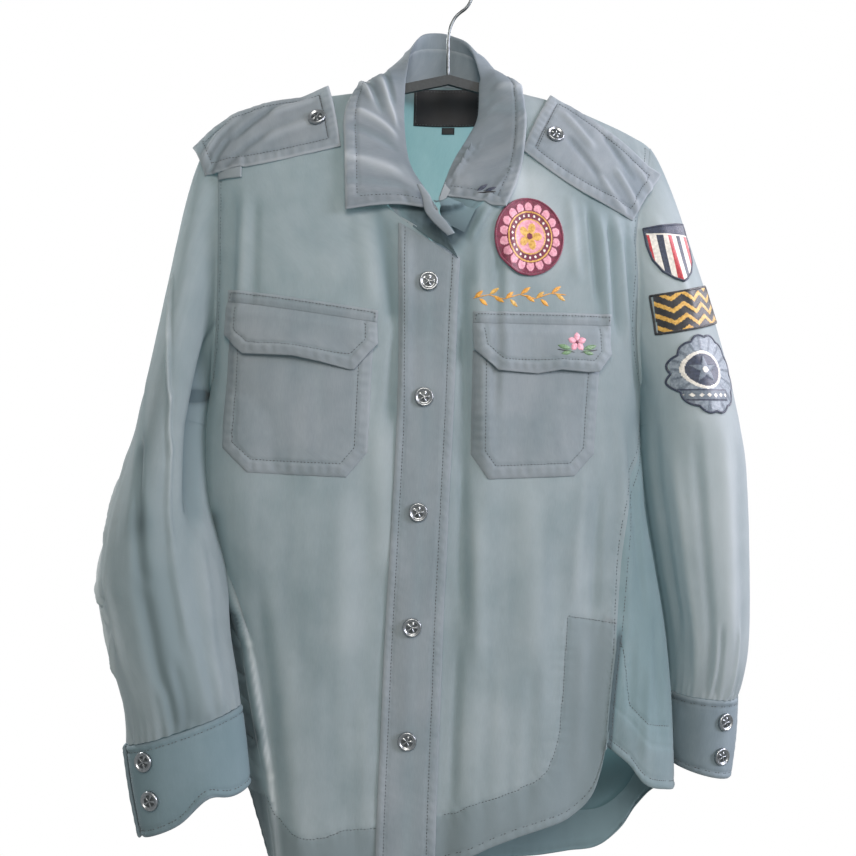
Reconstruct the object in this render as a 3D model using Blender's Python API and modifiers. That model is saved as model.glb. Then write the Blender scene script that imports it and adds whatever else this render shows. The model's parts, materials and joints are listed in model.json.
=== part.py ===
"""Shirt jacket on a slim hanger, in thin walls.

The script works in millimetres: x to the viewer's right, y away from the
viewer, z up, with the hook's inside top at the origin. "Down" means the
distance below that point. Left and right are the wearer's, so the right
front is on the viewer's left. The body is one closed section that changes
with height, and every panel, band and pocket is laid out on it.
"""
import math

import bpy
import numpy as np
from mathutils import Vector
from mathutils.bvhtree import BVHTree

MM = 0.001

# Wall thicknesses
CLOTH = 1.5
COLLAR_WALL = 2.2
CUFF_WALL = 2.4
DOUBLE_WALL = 2.0
PATCH_WALL = 1.6
LABEL_WALL = 1.0

# Clearances
SEAM_PULL = 0.45
LAY_GAP = 0.7
SHOULDER_PULL = 1.35
COLLAR_PULL = 1.4
POCKET_GAP = 1.2
FLAP_LIFT = 4.3

# Body
SECTION_POWER = 3.0
FALL_LENGTH = 200.0
FALL_POWER = 0.6
TIP_DOWN = 166.0
UNDERARM_DOWN = 405.0
ARM_CURVE_DOWN = 325.0
ARM_INSET = 4.0
PARTING_DOWN = 712.0
SEAM_ROWS = 9
SHOULDER_COLS = 9
BACK_NECK_COLS = 6

# Shares of the armhole's height and of the neckline's length at the panels' rows
ARM_STEPS = [0, 0.05, 0.14, 0.27, 0.43, 0.61, 0.79, 0.93, 1.0]
NECK_STEPS = [0, 0.27, 0.52, 0.75, 0.92, 1.0]
ARM_ROWS = len(ARM_STEPS) - 1
NECK_ROWS = len(NECK_STEPS) - 1

# Buttons
BUTTON_DIA = 16.5
BUTTON_HEIGHT = 3.4

# Hanger
HOOK_RADIUS = 23.2
HOOK_WIRE = 3.0
HOOK_CENTRE_DOWN = 21.7
BAR_DEPTH = 5.0
BAR_HEIGHT = 9.0

# down, centre x, half width, front depth, back depth, placket centre x
BODY = [
    (100, -10, 207, 71, 52, -18),
    (165, -10, 207, 72, 54, -20),
    (232, -17, 198, 74, 56, -24),
    (300, -20, 195, 76, 58, -26),
    (405, -20, 197, 78, 62, -29),
    (500, -16, 200, 79, 65, -34),
    (555, -8, 201, 79, 66, -37),
    (610, 1, 201, 79, 67, -40),
    (685, 8, 201, 79, 68, -43),
    (760, 14, 198, 79, 68, -46),
    (870, 18, 194, 79, 68, -49),
]

# x, down of the shoulder line; over the neck opening the line is only a guide
RIDGE = [
    (-250, 220), (-217, 167), (-203, 149), (-181, 139), (-150, 130), (-112, 124.5),
    (-90, 121.5), (-80, 120), (-60, 90), (-40, 66), (-12, 50), (20, 62), (42, 88),
    (60, 115), (70, 116.5), (98, 123), (145, 140), (180, 156), (197, 167), (230, 220),
]

# x, down of the neckline, from the placket up to the shoulder line
NECK_RIGHT = [(-26, 267), (-52, 252), (-68, 226), (-80, 190), (-85, 150), (-80, 120)]
NECK_LEFT = [(-22, 267), (-5, 255), (16, 239), (38, 220), (56, 190), (64, 150), (60, 115)]
NECK_BACK = [(60, 115), (44, 110), (18, 105), (-10, 104), (-38, 106), (-62, 112), (-80, 120)]

# down, distance the side seam lies in front of the side line
SEAM_LEFT = [(405, 3), (440, 30), (470, 52), (521, 75), (560, 87), (609, 100), (650, 110),
             (690, 117.5), (712, 120.5)]
SEAM_RIGHT = [(405, 0), (521, -12), (609, -18), (660, -14), (712, 0)]

# x, down of the hems; the last name tells the half of the section it lies on
HEM_LEFT = [(127, 737, "F"), (120, 756, "F"), (110, 768, "F"), (97, 775.5, "F"), (63, 784, "F"),
            (37, 791, "F"), (16, 800, "F"), (-20, 813, "F"), (-43, 819, "F")]
HEM_RIGHT = [(-181, 754, "F"), (-174, 790, "F"), (-163, 818, "F"), (-140, 836, "F"),
             (-105, 838, "F"), (-70, 828, "F"), (-50, 819, "F")]
HEM_BACK = [(138, 718, "F"), (152, 728, "F"), (170, 751, "F"), (197, 761, "F"), (213, 773, "B"),
            (205, 785, "B"), (194, 800, "B"), (187, 822, "B"), (160, 848, "B"), (110, 856, "B"),
            (38, 860, "B"), (-40, 860, "B"), (-100, 850, "B"), (-145, 822, "B"), (-170, 780, "B"),
            (-181, 742, "B")]

# start, end (both: millimetres from the placket, down), half width, height
FOLDS = [
    (36, 250, 34, 520, 13, -4.0),
    (62, 235, 56, 600, 16, 3.5),
    (120, 420, 100, 700, 34, 4.0),
    (165, 470, 150, 800, 18, -4.0),
    (-90, 470, -70, 800, 45, 4.5),
    (-165, 500, -140, 800, 22, -4.5),
    (-45, 420, -42, 800, 16, -2.5),
    (330, 300, 340, 800, 40, 5.0),
    (470, 300, 470, 800, 45, -4.0),
    (610, 300, 600, 800, 40, 5.0),
]

# Sleeves below the armhole: outer x, outer down, inner x, inner down, centre y, depth
SLEEVE_RIGHT = [
    (-283, 433, -220, 433, -10, 152), (-292, 470, -219.5, 472, -20, 144),
    (-302, 506, -216, 503, -32, 134), (-310.6, 558, -206, 545, -48, 110),
    (-305, 590, -201, 575, -56, 104), (-295, 630, -196, 612, -67, 98),
    (-284, 668, -190, 643, -76, 84), (-280.6, 694.5, -187, 664, -84, 58),
]
CUFF_RIGHT = [
    (-280.6, 695.8, -187, 665.3, -84, 57), (-274, 732, -183, 698, -88, 55),
    (-267, 769.5, -179, 730, -91, 53),
]
SLEEVE_LEFT = [
    (275, 432, 182, 432, -2, 137), (281, 470, 185, 470, 0, 130), (284, 520, 192.5, 518, 2, 124),
    (286.5, 570, 201, 566, 5, 116), (287, 620, 210, 614, 7, 110), (284.5, 660, 214.5, 652, 9, 96),
    (280, 688, 215.5, 682, 10, 76),
]
CUFF_LEFT = [
    (280, 689.0, 215.5, 683.0, 10, 75), (277, 728, 216, 718, 10, 73), (273, 764, 216.5, 751, 10, 72),
]

# Collar, by place round the neckline from the right front end to the left one:
# roll line x, y, z, outer edge x, y, z
COLLAR = [
    (0, -19, -80, -242, -98, -76, -241), (1, -29, -64, -221, -98, -66, -215),
    (2, -41, -50, -195, -98, -54, -187), (3, -44, -32, -157, -98, -38, -152),
    (4, -42, -13, -120, -92, -20, -129), (5, -40, -4, -104, -82, 0, -112),
    (6, -34, 14, -75, -66, 32, -109), (7, -22, 38, -53, -40, 56, -109),
    (8, -6, 46, -47, -6, 64, -110), (9, 9, 40, -51, 28, 54, -108),
    (10, 24, 22, -66, 52, 30, -105), (11, 30, -3, -101, 65, 2, -104),
    (12, 28.5, -9, -113, 67, -22, -121), (13, 25, -22, -146, 66, -42, -150),
    (14, 14, -35, -168, 61, -55, -183), (15, -1, -49, -194, 53, -67, -212),
    (16, -15, -64, -228, 41, -79, -236),
]
STAND_SHARE = 0.72

# Way the sleeve head leaves the armhole: out, and back in above the first ring
SLEEVE_HEAD = {1: (16, 15), -1: (27, 25)}

# Tip of the collar stand beyond the leaf: low edge, crease, top edge
STAND_TIP = [
    ((-1, -82.5, -285), (-12, -88, -263), (-4, -85, -263)),
    ((-14, -82, -274), (-19, -88, -256), (-12, -83, -251)),
]

# Placket band: down, left edge from the centre, right edge, lift of the right edge
BAND = [(283, -27, 26, 2.0), (330, -25, 24, 2.5), (430, -24, 23, 3.0), (560, -24, 24, 3.0),
        (700, -24.5, 25, 3.0), (818, -25, 25, 3.0)]
BAND_TOP_LEFT = 255.0
BAND_TOP_RIGHT = 285.0
BAND_HEM = 820.0
FRONT_BUTTONS = [304, 404, 503.5, 602.5, 700.5]

# Pocket outlines, x and down, clockwise from the top left
POCKET_RIGHT = [(-200, 346), (-75, 358), (-80, 452), (-98, 473), (-183, 469), (-204, 448)]
POCKET_LEFT = [(13, 364), (128, 370), (121, 454), (102, 473), (25, 475), (11, 454)]
FLAP_RIGHT = [(-201, 321.2), (-71.5, 340.8), (-71, 359), (-91, 378), (-184, 367), (-201, 350)]
FLAP_LEFT = [(13, 340.6), (136.5, 340.8), (136, 367), (124, 382), (33, 381), (15, 363)]
TOP_RIGHT = [(-201, 310), (-70.5, 330), (-71.5, 340), (-201, 320.4)]
TOP_LEFT = [(13, 330), (137.5, 330), (136.5, 340), (13, 339.8)]

# Shoulder straps, inner end to outer end: top x, y, down, bottom x, y, down
STRAP_RIGHT = [
    (-112, -6, 116, -102, -47, 180), (-140, -3, 127, -128, -45, 186.5),
    (-168, -1, 133, -157, -42, 193), (-190, -1, 140, -180, -37, 197),
    (-212, -1, 152, -203, -28, 199.5), (-235, -4, 175, -223, -16, 203),
]
STRAP_LEFT = [
    (97, -4, 118, 62, -51, 180), (119, -6, 132, 87, -54, 199.5), (139, -11, 148, 114, -54, 216.5),
    (169, -15.5, 171.5, 139, -50, 228), (187, -13, 184, 155, -43, 235), (202, -9, 193.5, 168, -34, 240),
]
LOOP_RIGHT = [(-209, 194), (-189, 190), (-189, 208), (-209, 208)]

# Patches: centre across, centre down, half width, half height
CHEST_PATCH = (62.9, 262.8, 30.8, 34.0)
SLEEVE_LOOK = Vector((-0.45, 0.893, 0.0))
SLEEVE_PATCHES = {
    "sleeve_patch_top": [(149, 247), (170, 238), (191, 240), (190, 285), (171, 296), (149, 291)],
    "sleeve_patch_middle": [(144, 310), (204, 298), (209, 333), (146, 346)],
    "sleeve_patch_low": [(152, 350), (200, 344), (207, 380), (178, 418), (150, 408), (146, 372)],
}

# Neck label and size tab on the back's inner side: x left, x right, down top, down foot
LABEL = (-29, 34, 106, 139)
SIZE_TAB = (-1, 11, 139.8, 146)

# Buttons: x, down, and the piece each sits on
STRAP_BUTTONS = [("strap_right", -122, 153), ("strap_left", 93.5, 164)]
CUFF_BUTTONS = [("cuff_right", -263.5, 704), ("cuff_right", -258, 735),
                ("cuff_left", 257.5, 706), ("cuff_left", 254, 738)]

# Hanger bar: distance from the hook, down of its top edge
BAR = [(0, 101), (40, 110.5), (60, 120.5), (76, 127), (98, 133.5), (112, 137), (145, 153), (178, 170),
       (186, 178)]


def smooth(rows, key, col):
    """Value of one table column at a key, by a smooth line through the rows."""
    keys = [row[0] for row in rows]
    vals = [row[col] for row in rows]
    if key <= keys[0]:
        return vals[0]
    if key >= keys[-1]:
        return vals[-1]
    i = int(np.searchsorted(keys, key, side="right")) - 1
    step = keys[i + 1] - keys[i]
    s = (key - keys[i]) / step

    def slope(k):
        a, b = max(k - 1, 0), min(k + 1, len(keys) - 1)
        return (vals[b] - vals[a]) / (keys[b] - keys[a])

    return ((2 * s ** 3 - 3 * s * s + 1) * vals[i] + (s ** 3 - 2 * s * s + s) * step * slope(i)
            + (3 * s * s - 2 * s ** 3) * vals[i + 1] + (s ** 3 - s * s) * step * slope(i + 1))


SECTIONS = {}


def section(down):
    """The body's closed section at one height: x, y, arc length, placket arc, quarter marks."""
    key = round(down, 2)
    if key not in SECTIONS:
        cx, half, front, back, placket = [smooth(BODY, down, k) for k in range(1, 6)]
        u = np.linspace(-math.pi / 2, 1.5 * math.pi, 721)
        c, s = np.cos(u), np.sin(u)
        x = cx + half * np.sign(c) * np.abs(c) ** (2 / SECTION_POWER)
        y = np.where(s < 0, front, back) * np.sign(s) * np.abs(s) ** (2 / SECTION_POWER)
        arc = np.concatenate([[0], np.cumsum(np.hypot(np.diff(x), np.diff(y)))])
        start = float(np.interp(placket, x[540:], arc[540:]))
        SECTIONS[key] = (x, y, arc, start)
    return SECTIONS[key]


def girth_at(down):
    return float(section(down)[2][-1])


def arc_at(down, x, half):
    """Arc from the placket centre to an x on the front (F, negative to the
    viewer's left) or the back (B, running on from the front's right end)."""
    xs, _, arc, start = section(down)
    if half == "F" and x >= xs[0]:
        return float(np.interp(x, xs[:181], arc[:181])) + arc[-1] - start
    if half == "F":
        return float(np.interp(x, xs[540:], arc[540:])) - start
    return float(np.interp(-x, -xs[180:541], arc[180:541])) + arc[-1] - start


def side_arc(down, side):
    """Arc of the side line, negative on the viewer's left."""
    _, _, arc, start = section(down)
    return float(arc[180] + arc[-1] - start if side > 0 else arc[540] - start)


def fold_height(a, down, girth):
    """Height of the large folds at an arc and height."""
    total = 0.0
    for a0, d0, a1, d1, width, height in FOLDS:
        s = (down - d0) / (d1 - d0)
        if s <= 0:
            continue
        gap = (a - (a0 + (a1 - a0) * min(s, 1.15)) + girth / 2) % girth - girth / 2
        total += height * math.sin(math.pi / 2 * min(1.0, 2.5 * s)) * math.exp(-(gap / width) ** 2)
    return total


def on_body(a, down, lift=0.0):
    """Point on the body at an arc from the placket and a height, moved out by lift."""
    xs, ys, arc, start = section(down)
    girth = arc[-1]

    def flat(b):
        b = (start + b) % girth
        x = float(np.interp(b, arc, xs))
        y = float(np.interp(b, arc, ys))
        rise = max(0.0, down - smooth(RIDGE, x, 1))
        y *= math.sin(math.pi / 2 * min(1.0, rise / FALL_LENGTH)) ** FALL_POWER
        return x, y

    x, y = flat(a)
    ahead, behind = flat(a + 3), flat(a - 3)
    tx, ty = ahead[0] - behind[0], ahead[1] - behind[1]
    size = math.hypot(tx, ty) or 1.0
    out = lift + fold_height(a, down, girth)
    return Vector((x + out * ty / size, y - out * tx / size, -down))


def body_normal(a, down):
    p = on_body(a, down)
    n = (on_body(a + 6, down) - p).cross(on_body(a, down + 6) - p)
    return -n.normalized() if n.length else Vector((0, -1, 0))


def front_point(x, down, lift):
    """Point over the front at x and down, moved out along the surface's normal."""
    a = arc_at(down, x, "F")
    n = body_normal(a, down)
    if n.y > 0:
        n = -n
    return on_body(a, down) + n * lift


def arm_arc(down, side, half):
    """Arc of the armhole's edge on one half at a height."""
    cx, wide = smooth(BODY, down, 1), smooth(BODY, down, 2)
    return arc_at(down, cx + side * (wide - ARM_INSET), half)


def arm_edge(side, half):
    """Armhole edge from the shoulder tip to the underarm, as (arc, down)."""
    rows = []
    for share in ARM_STEPS:
        down = TIP_DOWN + (UNDERARM_DOWN - TIP_DOWN) * share
        if down <= ARM_CURVE_DOWN:
            rows.append((arm_arc(down, side, half), down))
            continue
        s = (down - ARM_CURVE_DOWN) / (UNDERARM_DOWN - ARM_CURVE_DOWN)
        low = side_arc(down, side) - side * (SEAM_LEFT if side > 0 else SEAM_RIGHT)[0][1]
        top = arm_arc(down, side, half)
        if side < 0 and half == "B":
            low += girth_at(down)
        rows.append((top + (low - top) * (1 - math.sqrt(max(0.0, 1 - s * s))), down))
    return rows


def seam_edge(side):
    """Side seam from below the underarm to where the vent's edges part."""
    rows = []
    for i in range(1, SEAM_ROWS + 1):
        down = UNDERARM_DOWN + (PARTING_DOWN - UNDERARM_DOWN) * i / SEAM_ROWS
        shift = smooth(SEAM_LEFT if side > 0 else SEAM_RIGHT, down, 1)
        rows.append((side_arc(down, side) - side * shift, down))
    return rows


def resample(points, shares):
    """Points at shares of the length of a line of (arc, down) points."""
    pts = np.array(points, float)
    run = np.concatenate([[0], np.cumsum(np.hypot(*np.diff(pts, axis=0).T))])
    at = run[-1] * np.array(shares)
    return list(zip(np.interp(at, run, pts[:, 0]), np.interp(at, run, pts[:, 1])))


def neck_edge(table, shares, half):
    return resample([(arc_at(down, x, half), down) for x, down in table], shares)


def shoulder_edge(neck_x, side, half):
    """Shoulder line from beside the neck to the tip, as (arc, down)."""
    cx, wide = smooth(BODY, TIP_DOWN, 1), smooth(BODY, TIP_DOWN, 2)
    tip_x = cx + side * (wide - ARM_INSET)
    rows = []
    for i in range(1, SHOULDER_COLS + 1):
        x = neck_x + (tip_x - neck_x) * i / SHOULDER_COLS
        down = smooth(RIDGE, x, 1) if i < SHOULDER_COLS else TIP_DOWN
        rows.append((arc_at(down, x, half), down))
    return rows


def coons(top, bottom, left, right):
    """Grid of (arc, down) inside four edges."""
    n, m = len(top) - 1, len(left) - 1
    top, bottom, left, right = [np.array(e, float) for e in (top, bottom, left, right)]
    grid = []
    for j in range(m + 1):
        v = j / m
        row = []
        for i in range(n + 1):
            u = i / n
            p = ((1 - v) * top[i] + v * bottom[i] + (1 - u) * left[j] + u * right[j]
                 - (1 - u) * (1 - v) * top[0] - u * (1 - v) * top[n]
                 - (1 - u) * v * bottom[0] - u * v * bottom[n])
            row.append((p[0], p[1]))
        grid.append(row)
    return grid


def to_points(grid, ridge_cols=()):
    """Grid of (arc, down) as points; cells on the shoulder line are set on y = 0."""
    pts = [[on_body(a, down) for a, down in row] for row in grid]
    for i in ridge_cols:
        pts[0][i].y = 0.0
    return pts


def pull_in(pts, pull, top_pull):
    """Shorten a grid at its edges, each edge point along its own mesh line."""
    out = [[p.copy() for p in row] for row in pts]
    m, n = len(pts) - 1, len(pts[0]) - 1

    def move(j, i, dj, di, by):
        step = pts[j + dj][i + di] - pts[j][i]
        out[j][i] += step.normalized() * min(by, step.length * 0.3)

    for i in range(n + 1):
        move(0, i, 1, 0, top_pull)
        move(m, i, -1, 0, pull)
    for j in range(m + 1):
        move(j, 0, 0, 1, pull)
        move(j, n, 0, -1, pull)
    return out


def material(name, colour, rough=0.85, metal=0.0):
    mat = bpy.data.materials.new(name)
    mat.use_nodes = True
    node = mat.node_tree.nodes["Principled BSDF"]
    node.inputs["Base Color"].default_value = (*colour, 1.0)
    node.inputs["Roughness"].default_value = rough
    node.inputs["Metallic"].default_value = metal
    mat.diffuse_color = (*colour, 1.0)
    return mat


def add_object(name, mesh, mat, shade=True):
    obj = bpy.data.objects.new(name, mesh)
    PART.objects.link(obj)
    mesh.materials.append(mat)
    if shade:
        mesh.polygons.foreach_set("use_smooth", [True] * len(mesh.polygons))
    return obj


def wall(name, pts, thick, mat, ring=False):
    """A thin wall on a grid of points; ring closes each row on itself."""
    cols = len(pts[0])
    verts = [tuple(p * MM) for row in pts for p in row]
    faces = []
    for j in range(len(pts) - 1):
        for i in range(cols if ring else cols - 1):
            k = (i + 1) % cols
            faces.append((j * cols + i, (j + 1) * cols + i, (j + 1) * cols + k, j * cols + k))
    mesh = bpy.data.meshes.new(name)
    mesh.from_pydata(verts, [], faces)
    mesh.update()
    obj = add_object(name, mesh, mat)
    mod = obj.modifiers.new("wall", "SOLIDIFY")
    mod.thickness = thick * MM
    mod.offset = 0.0
    return obj


def tree_of(grids):
    """Search tree over the middle surfaces of some grids, in millimetres."""
    verts, faces = [], []
    for pts, ring in grids:
        base, cols = len(verts), len(pts[0])
        verts += [p for row in pts for p in row]
        for j in range(len(pts) - 1):
            for i in range(cols if ring else cols - 1):
                k = (i + 1) % cols
                faces.append((base + j * cols + i, base + (j + 1) * cols + i,
                              base + (j + 1) * cols + k, base + j * cols + k))
    return BVHTree.FromPolygons(verts, faces)


def settle(pts, tree, need, away=None, reach=15.0, rounds=30):
    """Move a laid grid outwards until it clears the surface under it."""
    away = away or Vector((0, -1, 0))
    pts = [[p.copy() for p in row] for row in pts]
    m, n = len(pts), len(pts[0])
    for _ in range(rounds):
        worst = 0.0
        for j in range(m - 1):
            for i in range(n - 1):
                cell = [(j, i), (j + 1, i), (j + 1, i + 1), (j, i + 1)]
                q = [pts[a][b] for a, b in cell]
                for wa in (0.0, 0.25, 0.5, 0.75, 1.0):
                    for wb in (0.0, 0.25, 0.5, 0.75, 1.0):
                        s = (q[0] * (1 - wa) + q[1] * wa) * (1 - wb) + (q[3] * (1 - wa) + q[2] * wa) * wb
                        near, normal, _, dist = tree.find_nearest(s)
                        if normal.dot(away) < 0:
                            normal = -normal
                        inside = (s - near).dot(normal) < -0.01
                        if inside and dist > reach:
                            continue
                        lack = need + dist if inside else need - dist
                        if lack > 0.02:
                            worst = max(worst, lack)
                            for a, b in cell:
                                pts[a][b] += away * lack * 0.3
        if worst == 0.0:
            break
    return pts


def outline_grid(outline, cols, rows, lift, top_lift=None):
    """Grid over a six- or four-cornered front outline, at its lift.

    Corners run top left, top right, then down the right side, along the foot
    and up the left side.
    """
    if len(outline) == 4:
        tl, tr, br, bl = outline
        left, right = [tl, bl], [tr, br]
    else:
        tl, tr, r1, r2, l2, l1 = outline
        left, right = [tl, l1, l2], [tr, r1, r2]
    grid = []
    spans = len(left) - 1
    for k in range(spans):
        steps = rows if k == 0 else 2
        for j in range(steps + (1 if k == spans - 1 else 0)):
            s = j / steps
            lx, ld = [left[k][c] + (left[k + 1][c] - left[k][c]) * s for c in (0, 1)]
            rx, rd = [right[k][c] + (right[k + 1][c] - right[k][c]) * s for c in (0, 1)]
            up = lift if grid or top_lift is None else top_lift
            grid.append([front_point(lx + (rx - lx) * i / cols, ld + (rd - ld) * i / cols, up)
                         for i in range(cols + 1)])
    return grid


def clear_scene():
    for obj in list(bpy.data.objects):
        bpy.data.objects.remove(obj, do_unlink=True)


clear_scene()
PART = bpy.data.collections.new("shirt_jacket")
bpy.context.scene.collection.children.link(PART)

# Body panels
arm = {(s, h): arm_edge(s, h) for s in (1, -1) for h in "FB"}
seam = {s: seam_edge(s) for s in (1, -1)}


def front_panel(side):
    neck = NECK_LEFT if side > 0 else NECK_RIGHT
    hem = HEM_LEFT if side > 0 else HEM_RIGHT
    edge = arm[(side, "F")] + seam[side]
    neck_line = neck_edge(neck, NECK_STEPS, "F")
    top = neck_line[-1:] + shoulder_edge(neck[-1][0], side, "F")[:-1] + [edge[0]]
    foot = resample([edge[-1]] + [(arc_at(d, x, h), d) for x, d, h in hem],
                    np.linspace(0, 1, len(top)))[::-1]
    low = neck_line[0]
    rows = len(edge) - 1 - NECK_ROWS
    centre = neck_line[::-1] + [(low[0] + (foot[0][0] - low[0]) * j / rows,
                                 low[1] + (foot[0][1] - low[1]) * j / rows) for j in range(1, rows + 1)]
    grid = coons(top, foot, centre, edge)
    return to_points(grid, range(SHOULDER_COLS + 1))


def back_panel():
    right = arm[(-1, "B")] + [(a + girth_at(d), d) for a, d in seam[-1]]
    left = arm[(1, "B")] + seam[1]
    over_left = shoulder_edge(NECK_BACK[0][0], 1, "B")[:-1]
    over_right = shoulder_edge(NECK_BACK[-1][0], -1, "B")[:-1]
    top = ([left[0]] + over_left[::-1] + neck_edge(NECK_BACK, np.linspace(0, 1, BACK_NECK_COLS + 1), "B")
           + over_right + [right[0]])
    foot = resample([left[-1]] + [(arc_at(d, x, h), d) for x, d, h in HEM_BACK] + [right[-1]],
                    np.linspace(0, 1, len(top)))
    grid = coons(top, foot, left, right)
    n = len(top)
    on_ridge = list(range(SHOULDER_COLS + 1)) + list(range(n - 1 - SHOULDER_COLS, n))
    return to_points(grid, on_ridge)


front_left = front_panel(1)
front_right = front_panel(-1)
back = back_panel()
panels = {"front_left": front_left, "front_right": front_right, "back": back}

CLOTH_COLOUR = (0.27, 0.34, 0.36)
for name, pts in panels.items():
    wall(name, pull_in(pts, SEAM_PULL, SHOULDER_PULL), CLOTH, material(name, CLOTH_COLOUR))
body_tree = tree_of([(pts, False) for pts in panels.values()])


# Sleeves and cuffs
def ring_points(row, count, angles=None, grow=0.0):
    """Points round one sleeve ring: outer, front, inner, back."""
    ox, od, ix, idn, cy, depth = row
    outer, inner = Vector((ox, cy, -od)), Vector((ix, cy, -idn))
    mid, half = (outer + inner) / 2, (outer - inner) / 2
    half = half * (1 + grow / half.length)
    out = []
    for k in range(count):
        ang = angles[k] if angles else 2 * math.pi * k / count
        out.append(mid + half * math.cos(ang) + Vector((0, -1, 0)) * (depth / 2 + grow) * math.sin(ang))
    return out


def sleeve(side, table):
    """Sleeve rings from the armhole to the wrist."""
    front = front_left if side > 0 else front_right
    hole = [row[-1] for row in front[:ARM_ROWS + 1]]
    rear = [row[0 if side > 0 else -1] for row in back[:ARM_ROWS + 1]]
    ring0 = hole + rear[-2:0:-1]
    count = len(ring0)
    run = [0.0]
    for k in range(count):
        run.append(run[-1] + (ring0[(k + 1) % count] - ring0[k]).length)
    angles = []
    for k in range(count):
        if k <= ARM_ROWS:
            angles.append(math.pi * run[k] / run[ARM_ROWS])
        else:
            angles.append(math.pi + math.pi * (run[k] - run[ARM_ROWS]) / (run[count] - run[ARM_ROWS]))
    ring_k = ring_points(table[0], count, angles)
    start = []
    for k, p in enumerate(ring0):
        low = min(1.0, max(0.0, (-p.z - 240) / 130))
        out = 0.7 + 1.9 * low
        start.append(p + Vector((side * out, 0, 0)) + Vector((0, 0, 0.25 if k == 0 else 0)))
    rings = [start]
    steps = 6
    for j in range(1, steps):
        s = j / steps
        ring = []
        for k in range(count):
            c = math.cos(angles[k])
            a, b = start[k], ring_k[k]
            reach, back_in = SLEEVE_HEAD[side]
            p1 = a + Vector((side * (3 + (reach - 3) * (1 + c) / 2), -12 * math.sin(angles[k]), -13))
            rise = 60 + 50 * c
            inward = -side * back_in * (1 + c) / 2
            p2 = b + Vector((inward, 0, rise))
            ring.append(a * (1 - s) ** 3 + p1 * 3 * s * (1 - s) ** 2 + p2 * 3 * s * s * (1 - s) + b * s ** 3)
        rings.append(ring)
    rings += [ring_points(row, count, angles) for row in table]
    return rings, angles


def cuff(table):
    """Cuff as a strip that laps over itself on the outer side."""
    turns = [math.radians(-10 + 22.0 * k) for k in range(18)]
    rings = []
    for row in table:
        ring = []
        for k, ang in enumerate(turns):
            lap = 3.4 * max(0.0, min(1.0, (k - 13.5) / 3.0))
            ring.append(ring_points(row, 1, [ang], lap)[0])
        rings.append(ring)
    return rings


sleeves = {}
for name, side, table in (("sleeve_left", 1, SLEEVE_LEFT), ("sleeve_right", -1, SLEEVE_RIGHT)):
    rings, _ = sleeve(side, table)
    sleeves[name] = rings
    if side > 0:
        rings = [r[::-1] for r in rings]
    wall(name, rings, CLOTH, material(name, CLOTH_COLOUR), ring=True)
cuffs = {}
for name, table in (("cuff_left", CUFF_LEFT), ("cuff_right", CUFF_RIGHT)):
    cuffs[name] = cuff(table)
    wall(name, cuffs[name], CUFF_WALL, material(name, (0.20, 0.26, 0.29)))

# Collar: stand up from the neckline, fall over the roll line
neck_line = ([row[0] for row in front_right[:NECK_ROWS + 1]][::-1]
             + back[0][SHOULDER_COLS:SHOULDER_COLS + BACK_NECK_COLS + 1][::-1][1:-1]
             + [row[0] for row in front_left[:NECK_ROWS + 1]])
last = len(neck_line) - 1
stand, fall = [], []
for k, n in enumerate(neck_line):
    roll, edge = [Vector([smooth(COLLAR, k, c) for c in cols]) for cols in ((1, 2, 3), (4, 5, 6))]
    if k == last:
        n = n.lerp(neck_line[k - 1], 0.35)
    up = (roll - n).normalized()
    seam_pt = n.lerp(roll, STAND_SHARE)
    base = n + up * 1.6
    if k == 0:
        base += Vector((0, -2.5, 0))
    stand.append([base, base.lerp(seam_pt, 0.5), seam_pt - up * (COLLAR_PULL + 1.2)])
    down_dir = (edge - roll).normalized()
    in_dir = (seam_pt - roll).normalized()
    across = (down_dir - in_dir).normalized()
    over = -(down_dir + in_dir).normalized()
    low, high = roll + in_dir * 2.0 - across * 2.2, roll + over * 0.6
    outer = roll + down_dir * 2.5 + across * 2.4
    bulge = over * 1.0 + across * 4.5 + Vector((0, 0, -6.0 * math.exp((k - last) / 0.8)))
    fall.append([seam_pt + up * COLLAR_PULL, low, high, outer,
                 outer.lerp(edge, 0.33) + bulge, outer.lerp(edge, 0.67) + bulge * 0.8, edge])
tips = [[Vector(t[0]), Vector(t[1]), Vector(t[2])] for t in STAND_TIP]
stand = tips + stand
under = tree_of([(pts, False) for pts in list(panels.values()) + [stand]])
leaf = settle([col[3:] for col in fall], under, CLOTH / 2 + COLLAR_WALL / 2 + 0.8,
              Vector((0, -0.6, 0.8)), reach=4.0)
fall = [col[:3] + out for col, out in zip(fall, leaf)]
wall("collar_stand", [list(c) for c in zip(*stand)], CLOTH, material("collar_stand", (0.22, 0.30, 0.31)))
wall("collar_fall", [list(c) for c in zip(*fall)], COLLAR_WALL, material("collar_fall", (0.26, 0.31, 0.34)))

# Placket band over both front edges
band = []
for j in range(17):
    v = j / 16
    row = []
    for i in range(4):
        w = i / 3
        start = BAND_TOP_LEFT + (BAND_TOP_RIGHT - BAND_TOP_LEFT) * w
        down = start + (BAND_HEM - start) * v
        left, right, lift = [smooth(BAND, down, c) for c in (1, 2, 3)]
        a = left + (right - left) * w
        p = on_body(a, down)
        n = body_normal(a, down)
        row.append(p + n * (CLOTH + LAY_GAP + 0.6 + lift * w * w))
    band.append(row)
band = settle(band, body_tree, CLOTH / 2 + DOUBLE_WALL / 2 + LAY_GAP)
wall("placket_band", band, DOUBLE_WALL, material("placket_band", (0.22, 0.27, 0.29)))

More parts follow.
